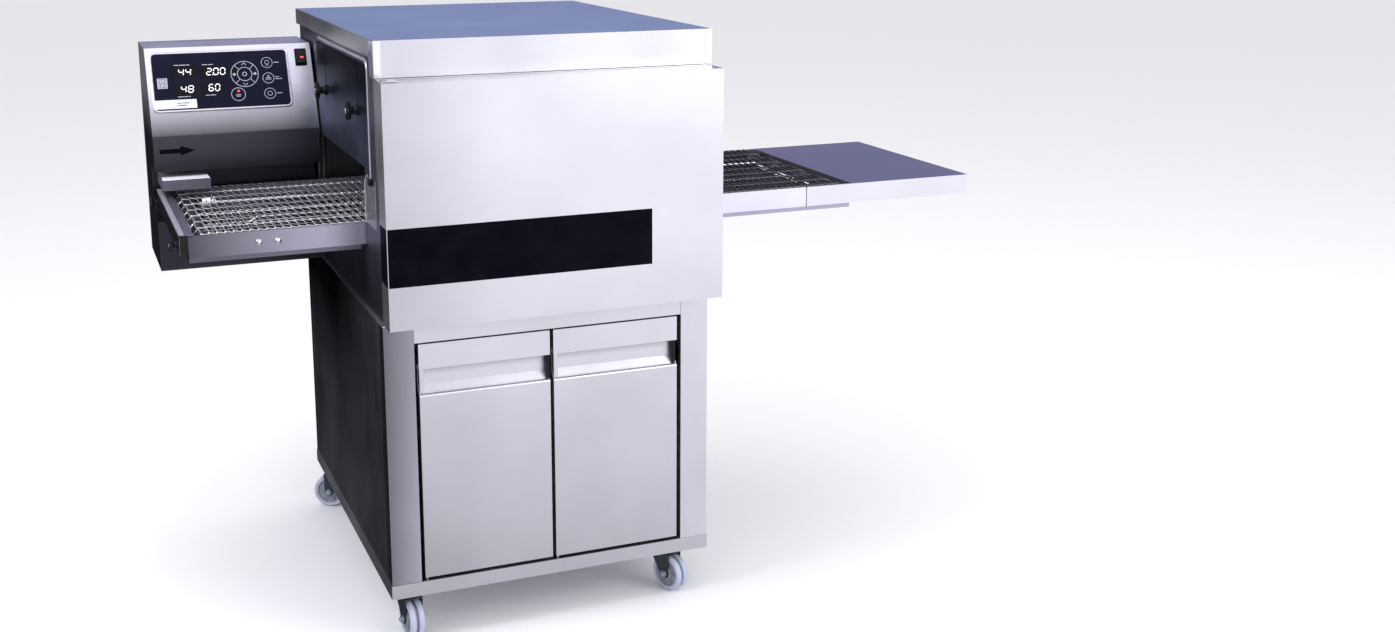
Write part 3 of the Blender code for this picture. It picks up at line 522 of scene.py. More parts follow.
# ------------------------------------------------------------------ conveyor
BELT_LOW, BELT_HIGH = local("wire_belt")
SHAFT_Z = (BELT_LOW.z + BELT_HIGH.z) / 2
WIRE = 0.0014
LOOP_R = (BELT_HIGH.z - BELT_LOW.z) / 2 - 2 * WIRE
ENDS = (BELT_LOW.x + 0.020, BELT_HIGH.x - 0.020)
SPACES = 8


def on_loop(s, y, out):
    """A place on the belt: s round the loop from above the drive shaft, out from its middle line."""
    run = ENDS[1] - ENDS[0]
    half = math.pi * LOOP_R
    s %= 2 * (run + half)
    r = LOOP_R + out
    if s < run:
        return at(ENDS[0] + s, y, SHAFT_Z + r)
    if s < run + half:
        a = (s - run) / LOOP_R
        return at(ENDS[1] + r * math.sin(a), y, SHAFT_Z + r * math.cos(a))
    if s < 2 * run + half:
        return at(ENDS[1] - (s - run - half), y, SHAFT_Z - r)
    a = (s - 2 * run - half) / LOOP_R
    return at(ENDS[0] - r * math.sin(a), y, SHAFT_Z - r * math.cos(a))


def wire_belt():
    """Flat-flex belt: stepped strands, each hooked round the next at every step."""
    length = 2 * (ENDS[1] - ENDS[0]) + 2 * math.pi * LOOP_R
    count = round(length / 0.016)
    pitch = length / count
    reach = pitch / 2 + 0.0013
    corner = 0.0028
    step = (BELT_HIGH.y - BELT_LOW.y - 2 * WIRE) / SPACES
    runs = []
    for i in range(count):
        centre = i * pitch
        run = []
        for k in range(SPACES + 1):
            y = BELT_LOW.y + WIRE + k * step
            side = 1 if k % 2 == 0 else -1
            before, after = -side, side
            hooks = []
            if k > 0:
                hooks += [(before * reach, -corner), (before * (reach - 0.3 * corner), -0.3 * corner)]
            hooks += [(before * (reach - corner), 0.0), (after * (reach - corner), 0.0)]
            if k < SPACES:
                hooks += [(after * (reach - 0.3 * corner), 0.3 * corner), (after * reach, corner)]
            if k == 0:
                hooks = [(before * (reach + 0.0010), 0.0022)] + hooks
            if k == SPACES:
                hooks = hooks + [(after * (reach + 0.0010), -0.0022)]
            for ds, dy in hooks:
                run.append(on_loop(centre + ds, y + dy, WIRE * 0.8 * (-1 if ds > 0 else 1)))
        runs.append(run)
    wires("belt_strands", runs, WIRE, "wire", ROOT, replaces=("wire_belt",))


def belt_supports():
    """Slide rods under the top run, and the bush and collar of the drive end."""
    z = SHAFT_Z + LOOP_R - 0.0055
    rear_y = 0.520
    rear = [at(ENDS[0] + 0.060, rear_y, z), at(ENDS[1] - 0.040, rear_y, z)]
    front = [at(-0.200, 0.326, z - 0.010), at(-0.186, 0.322, z), at(ENDS[1] - 0.045, 0.322, z)]
    wires("belt_slide_rods", [rear, front], 0.0027, "rod", ROOT, sides=4)
    along = facing(at(-0.275, rear_y, z), (1, 0, 0))
    bm = bmesh.new()
    bush = [(0, 0), (0.0085, 0), (0.0095, 0.001), (0.0095, 0.017), (0.0085, 0.018), (0, 0.018)]
    add_lathe(bm, bush, along)
    finish_piece(bm, "drive_end_bush", "bush", ROOT)
    bm = bmesh.new()
    collar = [(0, 0), (0.0075, 0), (0.0082, 0.001), (0.0082, 0.008), (0.0075, 0.009), (0, 0.009)]
    add_lathe(bm, collar, facing(at(-0.255, rear_y, z), (1, 0, 0)))
    grub_screw = [(0, 0), (0.003, 0), (0.003, 0.011), (0, 0.011)]
    add_lathe(bm, grub_screw, facing(at(-0.2505, rear_y, z), (0, -0.3, 0.6)), 12)
    finish_piece(bm, "drive_end_collar", "rod", ROOT)


def dome_screw(bm, place, out, radius):
    """A domed head with a washer face and a socket."""
    r = radius
    dome = [(r, 0), (r, 0.12 * r)]
    for i in range(1, 6):
        a = math.radians(90 * i / 6)
        dome.append((r * math.cos(a) * 0.98 + 0.02 * r, 0.12 * r + 0.60 * r * math.sin(a)))
    dome += [(0.36 * r, 0.68 * r), (0.34 * r, 0.45 * r), (0, 0.45 * r)]
    add_lathe(bm, [(0, 0)] + dome, facing(place, out), 20)


def end_bar_details():
    """Painted highlight on the outer lip, dark end plates, and painted shade on the outer face of the bar
    across the infeed end.
    """
    low, high = local("conveyor_end_bar")
    # painted highlight along the top of the outer lip
    lip = (
        (low.x + 0.0002, low.y + 0.003, high.z - 0.0002),
        (low.x + 0.0105, high.y - 0.003, high.z + 0.0003),
    )
    blocks("end_bar_lip_highlight", "tint", ROOT, [lip], 0.0002)
    plates = [
        ((low.x + 0.0004, y, low.z + 0.0006), (high.x - 0.0006, y + 0.0003, high.z - 0.0006))
        for y in (low.y - 0.0004, high.y + 0.0001)
    ]
    # painted shade: a black skin over the bar's outer face
    outer_face_shade = (
        (low.x - 0.0004, low.y + 0.0008, low.z + 0.0008),
        (low.x - 0.0001, high.y - 0.0008, high.z - 0.0040),
    )
    blocks("end_bar_end_plates_and_shade", "black", ROOT, plates + [outer_face_shade], 0.0001)


def tray_floors():
    """Near-black inside faces of the crumb trays under the belt: painted shade, with heat-tint patches."""
    side_gap, front_gap = 0.003, 0.026
    for end in ("infeed", "outfeed"):
        low, high = local(f"{end}_crumb_tray")
        floor = (
            (low.x + side_gap, low.y + front_gap, low.z + 0.0021),
            (high.x - side_gap, high.y - front_gap, low.z + 0.0026),
        )
        # painted shade: a near-black sheet on each tray's floor
        blocks(f"{end}_crumb_tray_floor_shade", "shade_and_heat_tint", f"{end}_tray_body", [floor], 0.0002)


def rail_details():
    """Pale sheet of painted light on the chain guard's top, black liners of painted shade in the seams at the
    rails' outfeed ends, and side screws.

    The liners reach back from the exit shelf to the tips of the rails' tongues, so they lie
    inside the shelf: a known fault.
    """
    low, high = local("chain_guard")
    # painted light: a pale sheet over the chain guard's top
    painted_top_light = (
        (low.x + 0.0012, low.y + 0.0012, high.z - 0.0002),
        (high.x - 0.0012, high.y - 0.0006, high.z + 0.0004),
    )
    blocks("chain_guard_painted_top_light", "painted_top_light", ROOT, [painted_top_light], 0.0003)
    front, rear = local("conveyor_front_rail"), local("conveyor_rear_rail")
    end_x = local("exit_shelf")[0].x - 0.0003
    # painted shade: black liners in the seams between the rails' ends and the exit shelf
    seam_shades = [
        ((far.x - 0.0002, near.y + 0.0003, near.z + 0.0006), (end_x, far.y - 0.0003, far.z - 0.0006))
        for near, far in (front, rear)
    ]
    blocks("rail_end_seam_shade", "black", ROOT, seam_shades, 0.0001)
    screw_z = 0.8365
    bm = bmesh.new()
    for y, out, radius in ((front[0].y, -1, 0.0068), (rear[1].y, 1, 0.0048)):
        for x in (-0.206, -0.169):
            dome_screw(bm, at(x, y, screw_z), (0, out, 0), radius)
    finish_piece(bm, "rail_screws", "rod", ROOT)


# ------------------------------------------------------------------ knobs
def star_outline(radius, lobes, steps=72):
    """Rounded lobes round a waist of about two thirds of the radius."""
    points = []
    for i in range(steps):
        a = 2 * math.pi * i / steps
        lift = 0.5 + 0.5 * math.cos(lobes * a)
        points.append(polar(radius * (0.66 + 0.34 * lift**0.7), a))
    return points


def star_knob(node_name):
    """Four-lobed clamping knob: ribbed head on a waisted stem over a washer, on its stud."""
    low, high = local(node_name)
    outfeed = node_name.startswith("outfeed")
    s = (high.z - low.z) / 0.0301  # every knob is this one, scaled
    centre_y, centre_z = (low.y + high.y) / 2, (low.z + high.z) / 2
    face = high.x - 0.026 * s if outfeed else low.x + 0.026 * s
    base = facing(at(face, centre_y, centre_z), (1 if outfeed else -1, 0, 0))
    bm = bmesh.new()
    stem = [(0, 0.0005), (0.0112 * s, 0.0005), (0.0112 * s, 0.0035 * s), (0.0088 * s, 0.0050 * s)]
    stem += [(0.0075 * s, 0.0090 * s), (0.0080 * s, 0.0135 * s), (0.0105 * s, 0.0165 * s), (0, 0.0168 * s)]
    add_lathe(bm, stem, base, 28)
    head = star_outline(0.0187 * s, 4)
    layers = ((0.86, 0.0150), (0.97, 0.0162), (1.0, 0.0180), (1.0, 0.0222), (0.95, 0.0242))
    rows = []
    for grow, height in (*layers, (0.82, 0.0250)):
        rows.append([bm.verts.new(base @ Vector((x * grow, y * grow, height * s))) for x, y in head])
    count = len(head)
    for one, two in zip(rows, rows[1:]):
        for i in range(count):
            j = (i + 1) % count
            bm.faces.new((one[i], two[i], two[j], one[j]))
    bm.faces.new(rows[0])
    bm.faces.new(list(reversed(rows[-1])))
    finish_piece(bm, f"{node_name}_head", "black", f"{node_name}_body", replaces=(node_name,))
    bm = bmesh.new()
    add_lathe(bm, [(0, -0.012), (0.0026, -0.012), (0.003, -0.011), (0.003, 0.001), (0, 0.001)], base, 16)
    cap = [(0, 0.0251), (0.0062, 0.0251), (0.0058, 0.0257), (0, 0.0259)]
    add_lathe(bm, [(radius * s, height * s) for radius, height in cap], base, 24)
    finish_piece(bm, f"{node_name}_stud", "zinc", f"{node_name}_body")


# ------------------------------------------------------------------ body details
def side_frame(node_name, side):
    """The guide strips beside a baffle: a bead with a rounded top, a lower plate and a catch pin."""
    low, high = local(node_name)
    face = low.x if side < 0 else high.x
    x = face + side * 0.0008
    bead_y, strip_foot, bend_z = 0.0800, 0.962, 1.168
    bead = [at(x, bead_y, strip_foot), at(x, bead_y, bend_z)]
    for i in range(1, 8):
        a = math.radians(90 * i / 8)
        bead.append(at(x, bead_y + 0.026 * (1 - math.cos(a)), bend_z + 0.028 * math.sin(a)))
    bead.append(at(x, 0.600, 1.196))
    tag = "infeed" if side < 0 else "outfeed"
    wires(f"{tag}_guide_bead", [bead], 0.0036, "bright", ROOT, sides=5)
    bm = bmesh.new()
    m = facing(at(face - side * 0.002, 0.0, 0.0), (side, 0, 0))
    flip = 1 if m.to_3x3() @ Vector((1, 0, 0)) @ Vector((0, 1, 0)) > 0 else -1
    strip = [(0.022, strip_foot), (0.079, strip_foot), (0.079, 1.199), (0.022, 1.199)]
    add_prism(bm, [(flip * y, z) for y, z in strip], 0.0045, m)
    finish_piece(bm, f"{tag}_guide_strip", "side", ROOT, bevel=0.0012)
    bm = bmesh.new()
    plate = [(0.052, 0.862), (0.149, 0.862), (0.149, 0.930)]
    plate += [polar(0.030, math.radians(90 * i / 8), (0.119, 0.932)) for i in range(9)]
    plate.append((0.052, strip_foot))
    add_prism(bm, [(flip * y, z) for y, z in plate], 0.0030, m)
    finish_piece(bm, f"{tag}_guard_plate", "end_bar", ROOT, bevel=0.0008)
    rim = [at(x, y, z) for y, z in plate[1:-1]]
    wires(f"{tag}_guard_rim", [rim], 0.0016, "bright", ROOT, sides=3)
    bm = bmesh.new()
    pin = [(0, 0), (0.0070, 0), (0.0075, 0.001), (0.0075, 0.006), (0.006, 0.0075), (0, 0.0078)]
    add_lathe(bm, pin, facing(at(face + side * 0.001, 0.0756, 0.9560), (side, 0, 0)), 20)
    finish_piece(bm, f"{tag}_guard_pin", "black", ROOT)


def mouth_jambs():
    """Folded near-black linings of painted shade between the side panels and the chamber, round each tunnel
    mouth.
    """
    liner = local("chamber_liner")
    gap = 0.0006
    front, back, bottom, top = 0.1480, 0.6920, 0.815, 1.062
    gaps = {
        "infeed": (local("oven_infeed_side")[1].x + gap, liner[0].x - gap),
        "outfeed": (liner[1].x + gap, local("oven_outfeed_side")[0].x - gap),
    }
    for tag, (left, right) in gaps.items():
        sheets = [
            ((left, front, bottom), (right, 0.1498, top)),
            ((left, 0.6902, bottom), (right, back, top)),
            ((left, front, 1.0602), (right, back, top)),
        ]
        # painted shade: near-black sheets round the inside of each tunnel mouth
        blocks(f"{tag}_mouth_lining_shade", "shade_and_heat_tint", ROOT, sheets, 0.0004)
        edge_x = (left + right) / 2
        edge = [at(edge_x, 0.6890, 0.816), at(edge_x, 0.6890, 1.060)]
        wires(f"{tag}_mouth_edge", [edge], 0.0010, "bright", ROOT, sides=3)


def cover_details():
    """Bright returns at the cover's front corners, and the screw of the upper hinge ear."""
    low, high = local("oven_top_cover")
    bottom = 1.1712
    bm = bmesh.new()
    for x, side in ((low.x, -1), (high.x, 1)):
        m = facing(at(x, 0.0, 0.0), (side, 0, 0))
        flip = 1 if (m.to_3x3() @ Vector((1, 0, 0))).y > 0 else -1
        front, back, top = low.y + 0.0005, 0.030, high.z - 0.0008
        outline = [(front, bottom), (back, bottom), (back, top), (front, top)]
        add_prism(bm, [(flip * y, z) for y, z in outline], 0.0006, m)
    for x in (low.x + 0.0003, high.x - 0.0143):
        add_block(bm, at(x, low.y - 0.0007, bottom), at(x + 0.014, low.y + 0.0002, high.z - 0.0006))
    finish_piece(bm, "cover_corner_returns", "rim", ROOT, bevel=0.0003)
    bm = bmesh.new()
    dome_screw(bm, at(0.028, -0.030, 1.1702), (0, 0, 1), 0.0045)
    finish_piece(bm, "hinge_ear_screw", "rod", ROOT)


def door_band():
    """Plain black film across the door, wrapped round its hinge edge."""
    low, high = local("front_door_shell")
    under, over = 0.00005, 0.0002  # how far the film's two faces stand off the door
    left, right, front, back = low.x, 0.543, low.y, high.y - 0.0020
    foot, top = 0.775, 0.890
    path = [(right, front), (left + 0.002, front), (left + 0.0006, front + 0.0006)]
    path += [(left, front + 0.002), (left, back)]
    normals = [(0, -1), (0, -1), (-0.7, -0.7), (-1, 0), (-1, 0)]
    bm = bmesh.new()
    rows = []
    for (x, y), (nx, ny) in zip(path, normals):
        bottom = foot if (x, y) != path[-1] else foot + 0.004
        section = ((under, bottom), (over, bottom), (over, top), (under, top))
        rows.append([bm.verts.new(at(x + nx * off, y + ny * off, z)) for off, z in section])
    skin(bm, rows)
    bm.faces.new(rows[0])
    bm.faces.new(list(reversed(rows[-1])))
    finish_piece(bm, "door_band", "band", "front_door")


def stand_details():
    """Black end and plain left-hand cover of each grip channel, and a black strip of painted shade behind the
    gap between the doors.
    """
    grip_top = 0.5835
    for side, inset in (("left", 0.0008), ("right", 0.0030)):
        low, high = local(f"stand_{side}_door")
        end = high.x - inset
        cap = (end - 0.0068, low.y + 0.0006, 0.5335), (end, low.y + 0.0155, grip_top)
        blocks(f"{side}_grip_end", "black", f"{side}_door", [cap], 0.0012, 3)
        start = low.x + 0.0006, low.y + 0.0030, 0.5340
        cover = start, (low.x + 0.0098, low.y + 0.0150, grip_top)
        blocks(f"{side}_grip_hinge_cover", "upright", f"{side}_door", [cover], 0.0010)
    middle = (local("stand_left_door")[1].x + local("stand_right_door")[0].x) / 2
    # painted shade: a black strip behind the gap between the doors
    gap_shade = (middle - 0.0185, 0.0253, 0.134), (middle + 0.0185, 0.0259, 0.6385)
    blocks("mullion_gap_shade", "black", ROOT, [gap_shade], 0.0002)


# ------------------------------------------------------------------ castors
def castor_details():
    """Wheels with a tread and a spoked hub, swivel races, axle nuts and plate bolts."""
    for name in sorted(n for n in NODES if n.endswith("_wheel")):
        tag = name[: -len("_wheel")]
        joint = next(j for j in frame["joints"] if j["child"] == f"{tag}_wheel_body")
        swivel = next(j for j in frame["joints"] if j["child"] == f"{tag}_swivel_body")
        axle = Vector(joint["axis"]).normalized()
        centre = Vector(joint["pos_m"])
        pivot = Vector(swivel["pos_m"])
        place = facing(centre, axle)
        r, half = 0.040, 0.0155
        bm = bmesh.new()
        for sign in (-1, 1):
            band = [(0.0305, 0.0032), (0.0372, 0.0030), (0.0390, 0.0040), (0.0398, 0.0062), (r, 0.0090)]
            band += [(0.0397, 0.0122), (0.0385, 0.0146), (0.0365, half), (0.0315, half), (0.0305, 0.0148)]
            add_lathe(bm, [(q, sign * h) for q, h in band + band[:1]], place, 48)
        finish_piece(bm, f"{tag}_tread", "tread", f"{tag}_wheel_body", replaces=(name,))
        bm = bmesh.new()
        side = [(0.0054, 0.0158), (0.0125, 0.0158), (0.0140, 0.0145), (0.0150, 0.0105), (0.0270, 0.0105)]
        side += [(0.0290, 0.0130), (0.0304, 0.0135)]
        rim = side + [(0.0312, 0.0040), (0.0330, 0.0026), (0.0330, -0.0026), (0.0312, -0.0040)]
        rim += [(q, -h) for q, h in reversed(side)] + [side[0]]
        add_lathe(bm, rim, place, 48)
        for k in range(6):
            turn = Matrix.Rotation(math.radians(60 * k), 4, "Z")
            for sign in (-1, 1):
                foot, crest = sorted((sign * 0.0100, sign * 0.0135))
                add_block(bm, (0.013, -0.0012, foot), (0.029, 0.0012, crest), place @ turn)
        finish_piece(bm, f"{tag}_hub", "hub", f"{tag}_wheel_body")
        bm = bmesh.new()
        head = facing(Vector((pivot.x, pivot.y, 0.0855)), (0, 0, 1), (0, 1, 0))
        race = [(0, 0.0122), (0.0270, 0.0122), (0.0290, 0.0105), (0.0285, 0.0080), (0.0240, 0.0060)]
        race += [(0.0290, 0.0040), (0.0300, 0.0015), (0.0240, 0.0), (0, 0.0)]
        add_lathe(bm, race, head, 36)
        for sign in (-1, 1):
            nut = facing(centre + axle * sign * 0.0198, axle * sign)
            add_prism(bm, circle(0.0082, 6), 0.0050, nut)
            tip = [(0, 0.004), (0.0045, 0.004), (0.0045, 0.0075), (0.003, 0.0085), (0, 0.0085)]
            add_lathe(bm, tip, nut, 16)
        finish_piece(bm, f"{tag}_swivel_head", "zinc", f"{tag}_swivel_body", bevel=0.0004)
        bm = bmesh.new()
        for dx in (-0.036, 0.036):
            for dy in (-0.027, 0.027):
                bolt = facing(Vector((pivot.x + dx, pivot.y + dy, 0.0981)), (0, 0, -1), (0, 1, 0))
                add_prism(bm, circle(0.0062, 6), 0.0040, bolt)
        finish_piece(bm, f"{tag}_plate_bolts", "zinc", ROOT, bevel=0.0005)


# ------------------------------------------------------------------ control face
BOX_LOW, BOX_HIGH = local("control_box_casing")
FOLD_Z, TOP_FRONT = 0.992, 0.694
LEAN = math.atan2(TOP_FRONT - BOX_LOW.y, BOX_HIGH.z - FOLD_Z)
PAD_FACE = 0.0030  # the film stands this far out of the leaning face
INK = 0.00015
RAISED = Matrix.Translation((0, 0, 0.0003))


def fascia(x, z, out=0.0):
    """A frame on the leaning face: X along the object, Y up the slope, Z out of the face."""
    y = BOX_LOW.y + (z - FOLD_Z) * math.tan(LEAN)
    normal = Vector((0, -math.cos(LEAN), math.sin(LEAN)))
    return facing(at(x, y, z) + normal * out, normal)


SEGMENTS = {
    "0": "abcdef", "2": "abged", "4": "fgbc", "6": "afgedc", "8": "abcdefg",
}


def add_digit(bm, m, char, x, y, w, h, t):
    """Seven-segment digit with its lower left corner at x, y, slightly slanted."""
    mid = h / 2
    bars = {
        "a": ((0, h), (w, h)), "b": ((w, h), (w, mid)), "c": ((w, mid), (w, 0)), "d": ((0, 0), (w, 0)),
        "e": ((0, 0), (0, mid)), "f": ((0, mid), (0, h)), "g": ((0, mid), (w, mid)),
    }
    for key in SEGMENTS[char]:
        (ax, ay), (bx, by) = bars[key]
        along = Vector((bx - ax, by - ay)).normalized()
        across = Vector((-along.y, along.x)) * t / 2
        a = Vector((ax, ay)) + along * t * 0.35
        b = Vector((bx, by)) - along * t * 0.35
        nib = along * t * 0.45
        shape = [a, a + across + nib, b + across - nib, b, b - across - nib, a - across + nib]
        slant = [(x + p.x + 0.12 * p.y, y + p.y) for p in shape]
        add_prism(bm, slant, 0.0002, m)


def add_text_marks(bm, m, x, y, lengths, height=0.0016, gap=0.0016):
    """Short plain dashes where a caption would stand."""
    for length in lengths:
        add_prism(bm, [(x, y), (x + length, y), (x + length, y + height), (x, y + height)], INK, m)
        x += length + gap


def keypad():
    """Rim, displays, plain marks and stickers of the keypad, on its leaning film."""
    pad_low, pad_high = local("keypad_panel")
    cx = (pad_low.x + pad_high.x) / 2
    cz = 1.1025
    m = fascia(cx, cz, PAD_FACE)

    def spot(x, z):
        """A point of the film from its x and its height above the floor."""
        return x - cx, (z - cz) / math.cos(LEAN)

    width, height = 0.2925, 0.129
    bm = bmesh.new()
    outer = rounded(width + 0.0125, height + 0.0125, 0.0135)
    inner = rounded(width + 0.0015, height + 0.0015, 0.0085)
    rim = fascia(cx, cz, 0.0001)
    section = ((0.0, 0.0), (0.12, 0.0018), (0.35, 0.0030), (0.65, 0.0034), (0.90, 0.0030))
    rows = []
    for share, lift in (*section, (1.0, 0.0004)):
        row = []
        for (ox, oy), (ix, iy) in zip(outer, inner):
            place = Vector((ox + (ix - ox) * share, oy + (iy - oy) * share, lift))
            row.append(bm.verts.new(rim @ place))
        rows.append(row)
    skin(bm, rows, closed=True)
    finish_piece(bm, "keypad_rim", "rim", ROOT)

    windows = bmesh.new()
    digits = bmesh.new()
    ink = bmesh.new()
    displays = (  # text, left edge, foot height, width of the text, caption dashes
        ("44", -0.2953, 1.1150, 0.0290, (0.010, 0.014, 0.006)),
        ("200", -0.2350, 1.1140, 0.0420, (0.012, 0.010)),
        ("48", -0.2930, 1.0790, 0.0290, (0.012, 0.008, 0.004)),
        ("60", -0.2335, 1.0800, 0.0260, (0.009, 0.012)),
    )
    for text, x, z, span, caption in displays:
        px, py = spot(x, z)
        h = 0.0150
        w = span / (len(text) * 1.42)
        centre = px + span / 2 - 0.004, py + h / 2
        add_prism(windows, rounded(span + 0.022, h + 0.012, 0.002, centre), 0.0001, m)
        lift = m @ Matrix.Translation((0, 0, 0.0002))
        for i, char in enumerate(text):
            add_digit(digits, lift, char, px + i * w * 1.5, py, w, h, 0.0022)
        if len(text) == 3:
            left, right, low, high = px + w * 1.22, px + w * 1.36, py - 0.0012, py + 0.0012
            add_prism(digits, [(left, low), (right, low), (right, high), (left, high)], 0.0002, lift)
        caption_y = py + h + 0.0085 if z > 1.1 else py - 0.0105
        add_text_marks(ink, m, px - 0.008, caption_y, caption)

    def ring(centre, radius, thick, steps=48):
        add_ring(ink, circle(radius, steps, centre), circle(radius - thick, steps, centre), INK, m)

    dial = Vector(spot(-0.1522, 1.1127))
    ring(dial, 0.0305, 0.0013, 64)
    ring(dial, 0.0165, 0.0013)
    ring(dial, 0.0052, 0.0016, 24)
    for k in range(4):
        a = math.radians(45 + 90 * k)
        along = Vector((math.cos(a), math.sin(a)))
        across = Vector((-along.y, along.x)) * 0.0006
        p, q = dial + along * 0.0170, dial + along * 0.0295
        add_prism(ink, [p + across, q + across, q - across, p - across], INK, m)
        b = math.radians(90 * k)
        out = Vector((math.cos(b), math.sin(b)))
        wide = Vector((-out.y, out.x))
        tip = dial + out * 0.0272
        root = tip - out * 0.0052
        if k % 2:
            thick, left, right = out * 0.0016, root + wide * 0.0052, root - wide * 0.0052
            add_prism(ink, [tip, tip - thick, left - thick, left], INK, m)
            add_prism(ink, [tip, right, right - thick, tip - thick], INK, m)
        else:
            tail = root - out * 0.0032
            shape = [tip, root + wide * 0.0042, root + wide * 0.0014, tail + wide * 0.0014]
            shape += [tail - wide * 0.0014, root - wide * 0.0014, root - wide * 0.0042]
            add_prism(ink, shape, INK, m)
    bx, bz = spot(-0.1705, 1.0701)
    ring((bx, bz), 0.0158, 0.0013)
    add_text_marks(ink, m, bx - 0.006, bz - 0.002, (0.012,))
    add_text_marks(ink, m, bx - 0.004, bz - 0.0055, (0.008,))
    for k, z in enumerate((1.1352, 1.1021, 1.0690)):
        kx, kz = spot(-0.1009, z)
        ring((kx, kz), 0.0128, 0.0011)
        if k == 0:
            ring((kx, kz + 0.001), 0.0050, 0.0010, 24)
            add_text_marks(ink, m, kx - 0.0035, kz - 0.0065, (0.007,), 0.0012)
        elif k == 1:
            for j in range(3):
                a = math.radians(90 + 120 * j)
                ring((kx + 0.0036 * math.cos(a), kz + 0.0036 * math.sin(a)), 0.0030, 0.0009, 20)
        else:
            ring((kx, kz), 0.0055, 0.0010, 24)
        caption_z = kz + (0.0010 if k == 1 else -0.0008)
        add_text_marks(ink, m, kx + 0.0155, caption_z, ((0.011,), (0.008,), (0.012,))[k])
        if k == 1:
            add_text_marks(ink, m, kx + 0.0155, kz - 0.0035, (0.0145,))
    layers = (windows, "display_windows", "window"), (digits, "display_digits", "digits")
    for bm, name, look in (*layers, (ink, "keypad_marks", "ink")):
        finish_piece(bm, name, look, ROOT, smooth=False)

    strip, square = spot(-0.3080, 1.0552), spot(-0.3312, 1.0997)
    bm = bmesh.new()
    add_prism(bm, rounded(0.0920, 0.0205, 0.0010, strip), 0.0003, m)
    finish_piece(bm, "keypad_strip", "sticker", ROOT, smooth=False)
    bm = bmesh.new()
    add_prism(bm, rounded(0.0215, 0.0240, 0.0010, square), 0.0003, m)
    finish_piece(bm, "keypad_square", "ink", ROOT, smooth=False)
    bm = bmesh.new()
    for row in range(7):
        for col in range(6):
            if (row * 5 + col * 3 + row * col) % 3 != 1:
                centre = square[0] - 0.0082 + col * 0.0033, square[1] - 0.0096 + row * 0.0032
                add_prism(bm, rounded(0.0022, 0.0022, 0.0003, centre, 1), 0.0001, m @ RAISED)
    for dy, spans in ((0.0012, (0.010, 0.014)), (-0.0040, (0.020,))):
        add_text_marks(bm, m @ RAISED, strip[0] + 0.004, strip[1] + dy, spans, 0.0018)
    finish_piece(bm, "sticker_marks", "motor", ROOT, smooth=False)
    bm = bmesh.new()
    lamp = m @ Matrix.Translation((bx + 0.001, bz + 0.0075, 0))
    add_lathe(bm, [(0, 0), (0.0030, 0), (0.0026, 0.0006), (0.0012, 0.0010), (0, 0.0011)], lamp, 20)
    finish_piece(bm, "start_lamp", "lamp", ROOT)


def rocker():
    """Bezel round the rocker switch, and the lens that rocks with it."""
    low, high = local("rocker_switch")
    cx = (low.x + high.x) / 2
    m = fascia(cx, 1.145)
    bm = bmesh.new()
    add_ring(bm, rounded(0.0262, 0.0412, 0.0022), rounded(0.0222, 0.0360, 0.0012), 0.0022, m)
    finish_piece(bm, "rocker_bezel", "black", ROOT, bevel=0.0006)
    tilt = m @ Matrix.Rotation(math.radians(-8), 4, "X")
    lens = rounded(0.0074, 0.0044, 0.0014, (0.002, -0.0030))
    bm = bmesh.new()
    add_prism(bm, lens, 0.0007, tilt @ Matrix.Translation((0, 0, 0.0059)))
    finish_piece(bm, "rocker_lens", "lamp", "rocker_switch_body", bevel=0.0003)


def direction_arrow():
    """Near-black painted shade on the lower faces under the control face, with the belt direction arrow on
    it.
    """
    left, right = BOX_LOW.x + 0.0015, BOX_HIGH.x - 0.0015
    front, back = BOX_LOW.y - 0.0003, BOX_LOW.y + 0.0002
    # painted shade: near-black sheets over the box's lower faces
    strips = [
        ((left, front, 0.9125), (right, back, FOLD_Z - 0.002)),
        ((left, front, 0.692), (right, back, 0.7990)),
        ((left, 0.7015, 0.802), (right, 0.7020, 0.9110)),  # the set-back middle
    ]
    blocks("control_box_lower_face_shade", "shade", ROOT, strips, 0.0001)
    m = facing(at(0, front, 0.9565), (0, -1, 0))
    shape = [(-0.350, -0.0050), (-0.306, -0.0050), (-0.306, -0.0110), (-0.274, 0.0), (-0.306, 0.0110)]
    shape += [(-0.306, 0.0050), (-0.350, 0.0050)]
    bm = bmesh.new()
    add_prism(bm, shape, 0.0004, m)
    finish_piece(bm, "direction_arrow", "band", ROOT, smooth=False)


# ------------------------------------------------------------------ studio
# Soft fields of light round the object, seen only in reflections: each one's direction, where it
# starts and is full as the cosine off that direction, and its colour
ROOM = (
    ((0, 0, 1), -2.0, -1.5, (0.16, 0.16, 0.20)),
    ((0.38, -0.90, 0.10), 0.66, 0.99, (0.86, 0.845, 0.90)),
    ((0.10, -0.75, 0.65), 0.30, 0.95, (0.37, 0.36, 0.43)),
    ((-0.12, -0.84, 0.53), 0.95, 1.0, (0.30, 0.29, 0.35)),
    ((-0.50, -0.86, 0.08), 0.88, 0.995, (0.42, 0.41, 0.45)),
    ((0.25, 0.95, 0.12), 0.55, 0.98, (0.06, 0.07, 0.20)),
    ((0.95, -0.20, 0.10), 0.40, 0.95, (0.35, 0.33, 0.38)),
    ((-0.95, 0.0, 0.10), 0.55, 0.98, (0.34, 0.34, 0.38)),
    ((0, 0, -1), 0.50, 0.90, (0.55, 0.55, 0.58)),
    ((0, 0, 1), 0.60, 0.95, (0.45, 0.45, 0.50)),
)
SHADE = ((-0.26, 0.93, -0.24), 0.78, 0.96, 0.04)  # the unlit corner of the room
AMBIENT = 0.95  # all the light from round about that isn't seen in a reflection
LENS, SENSOR = 40.0913548, 36  # millimetres
SHIFT = (0.0249820789, -0.0726021505)  # the camera's centre line in the frame, in frame widths
CAMERA, DOWN, TURN = (-0.605, -2.928, 1.524), 0.2072, 0.3890


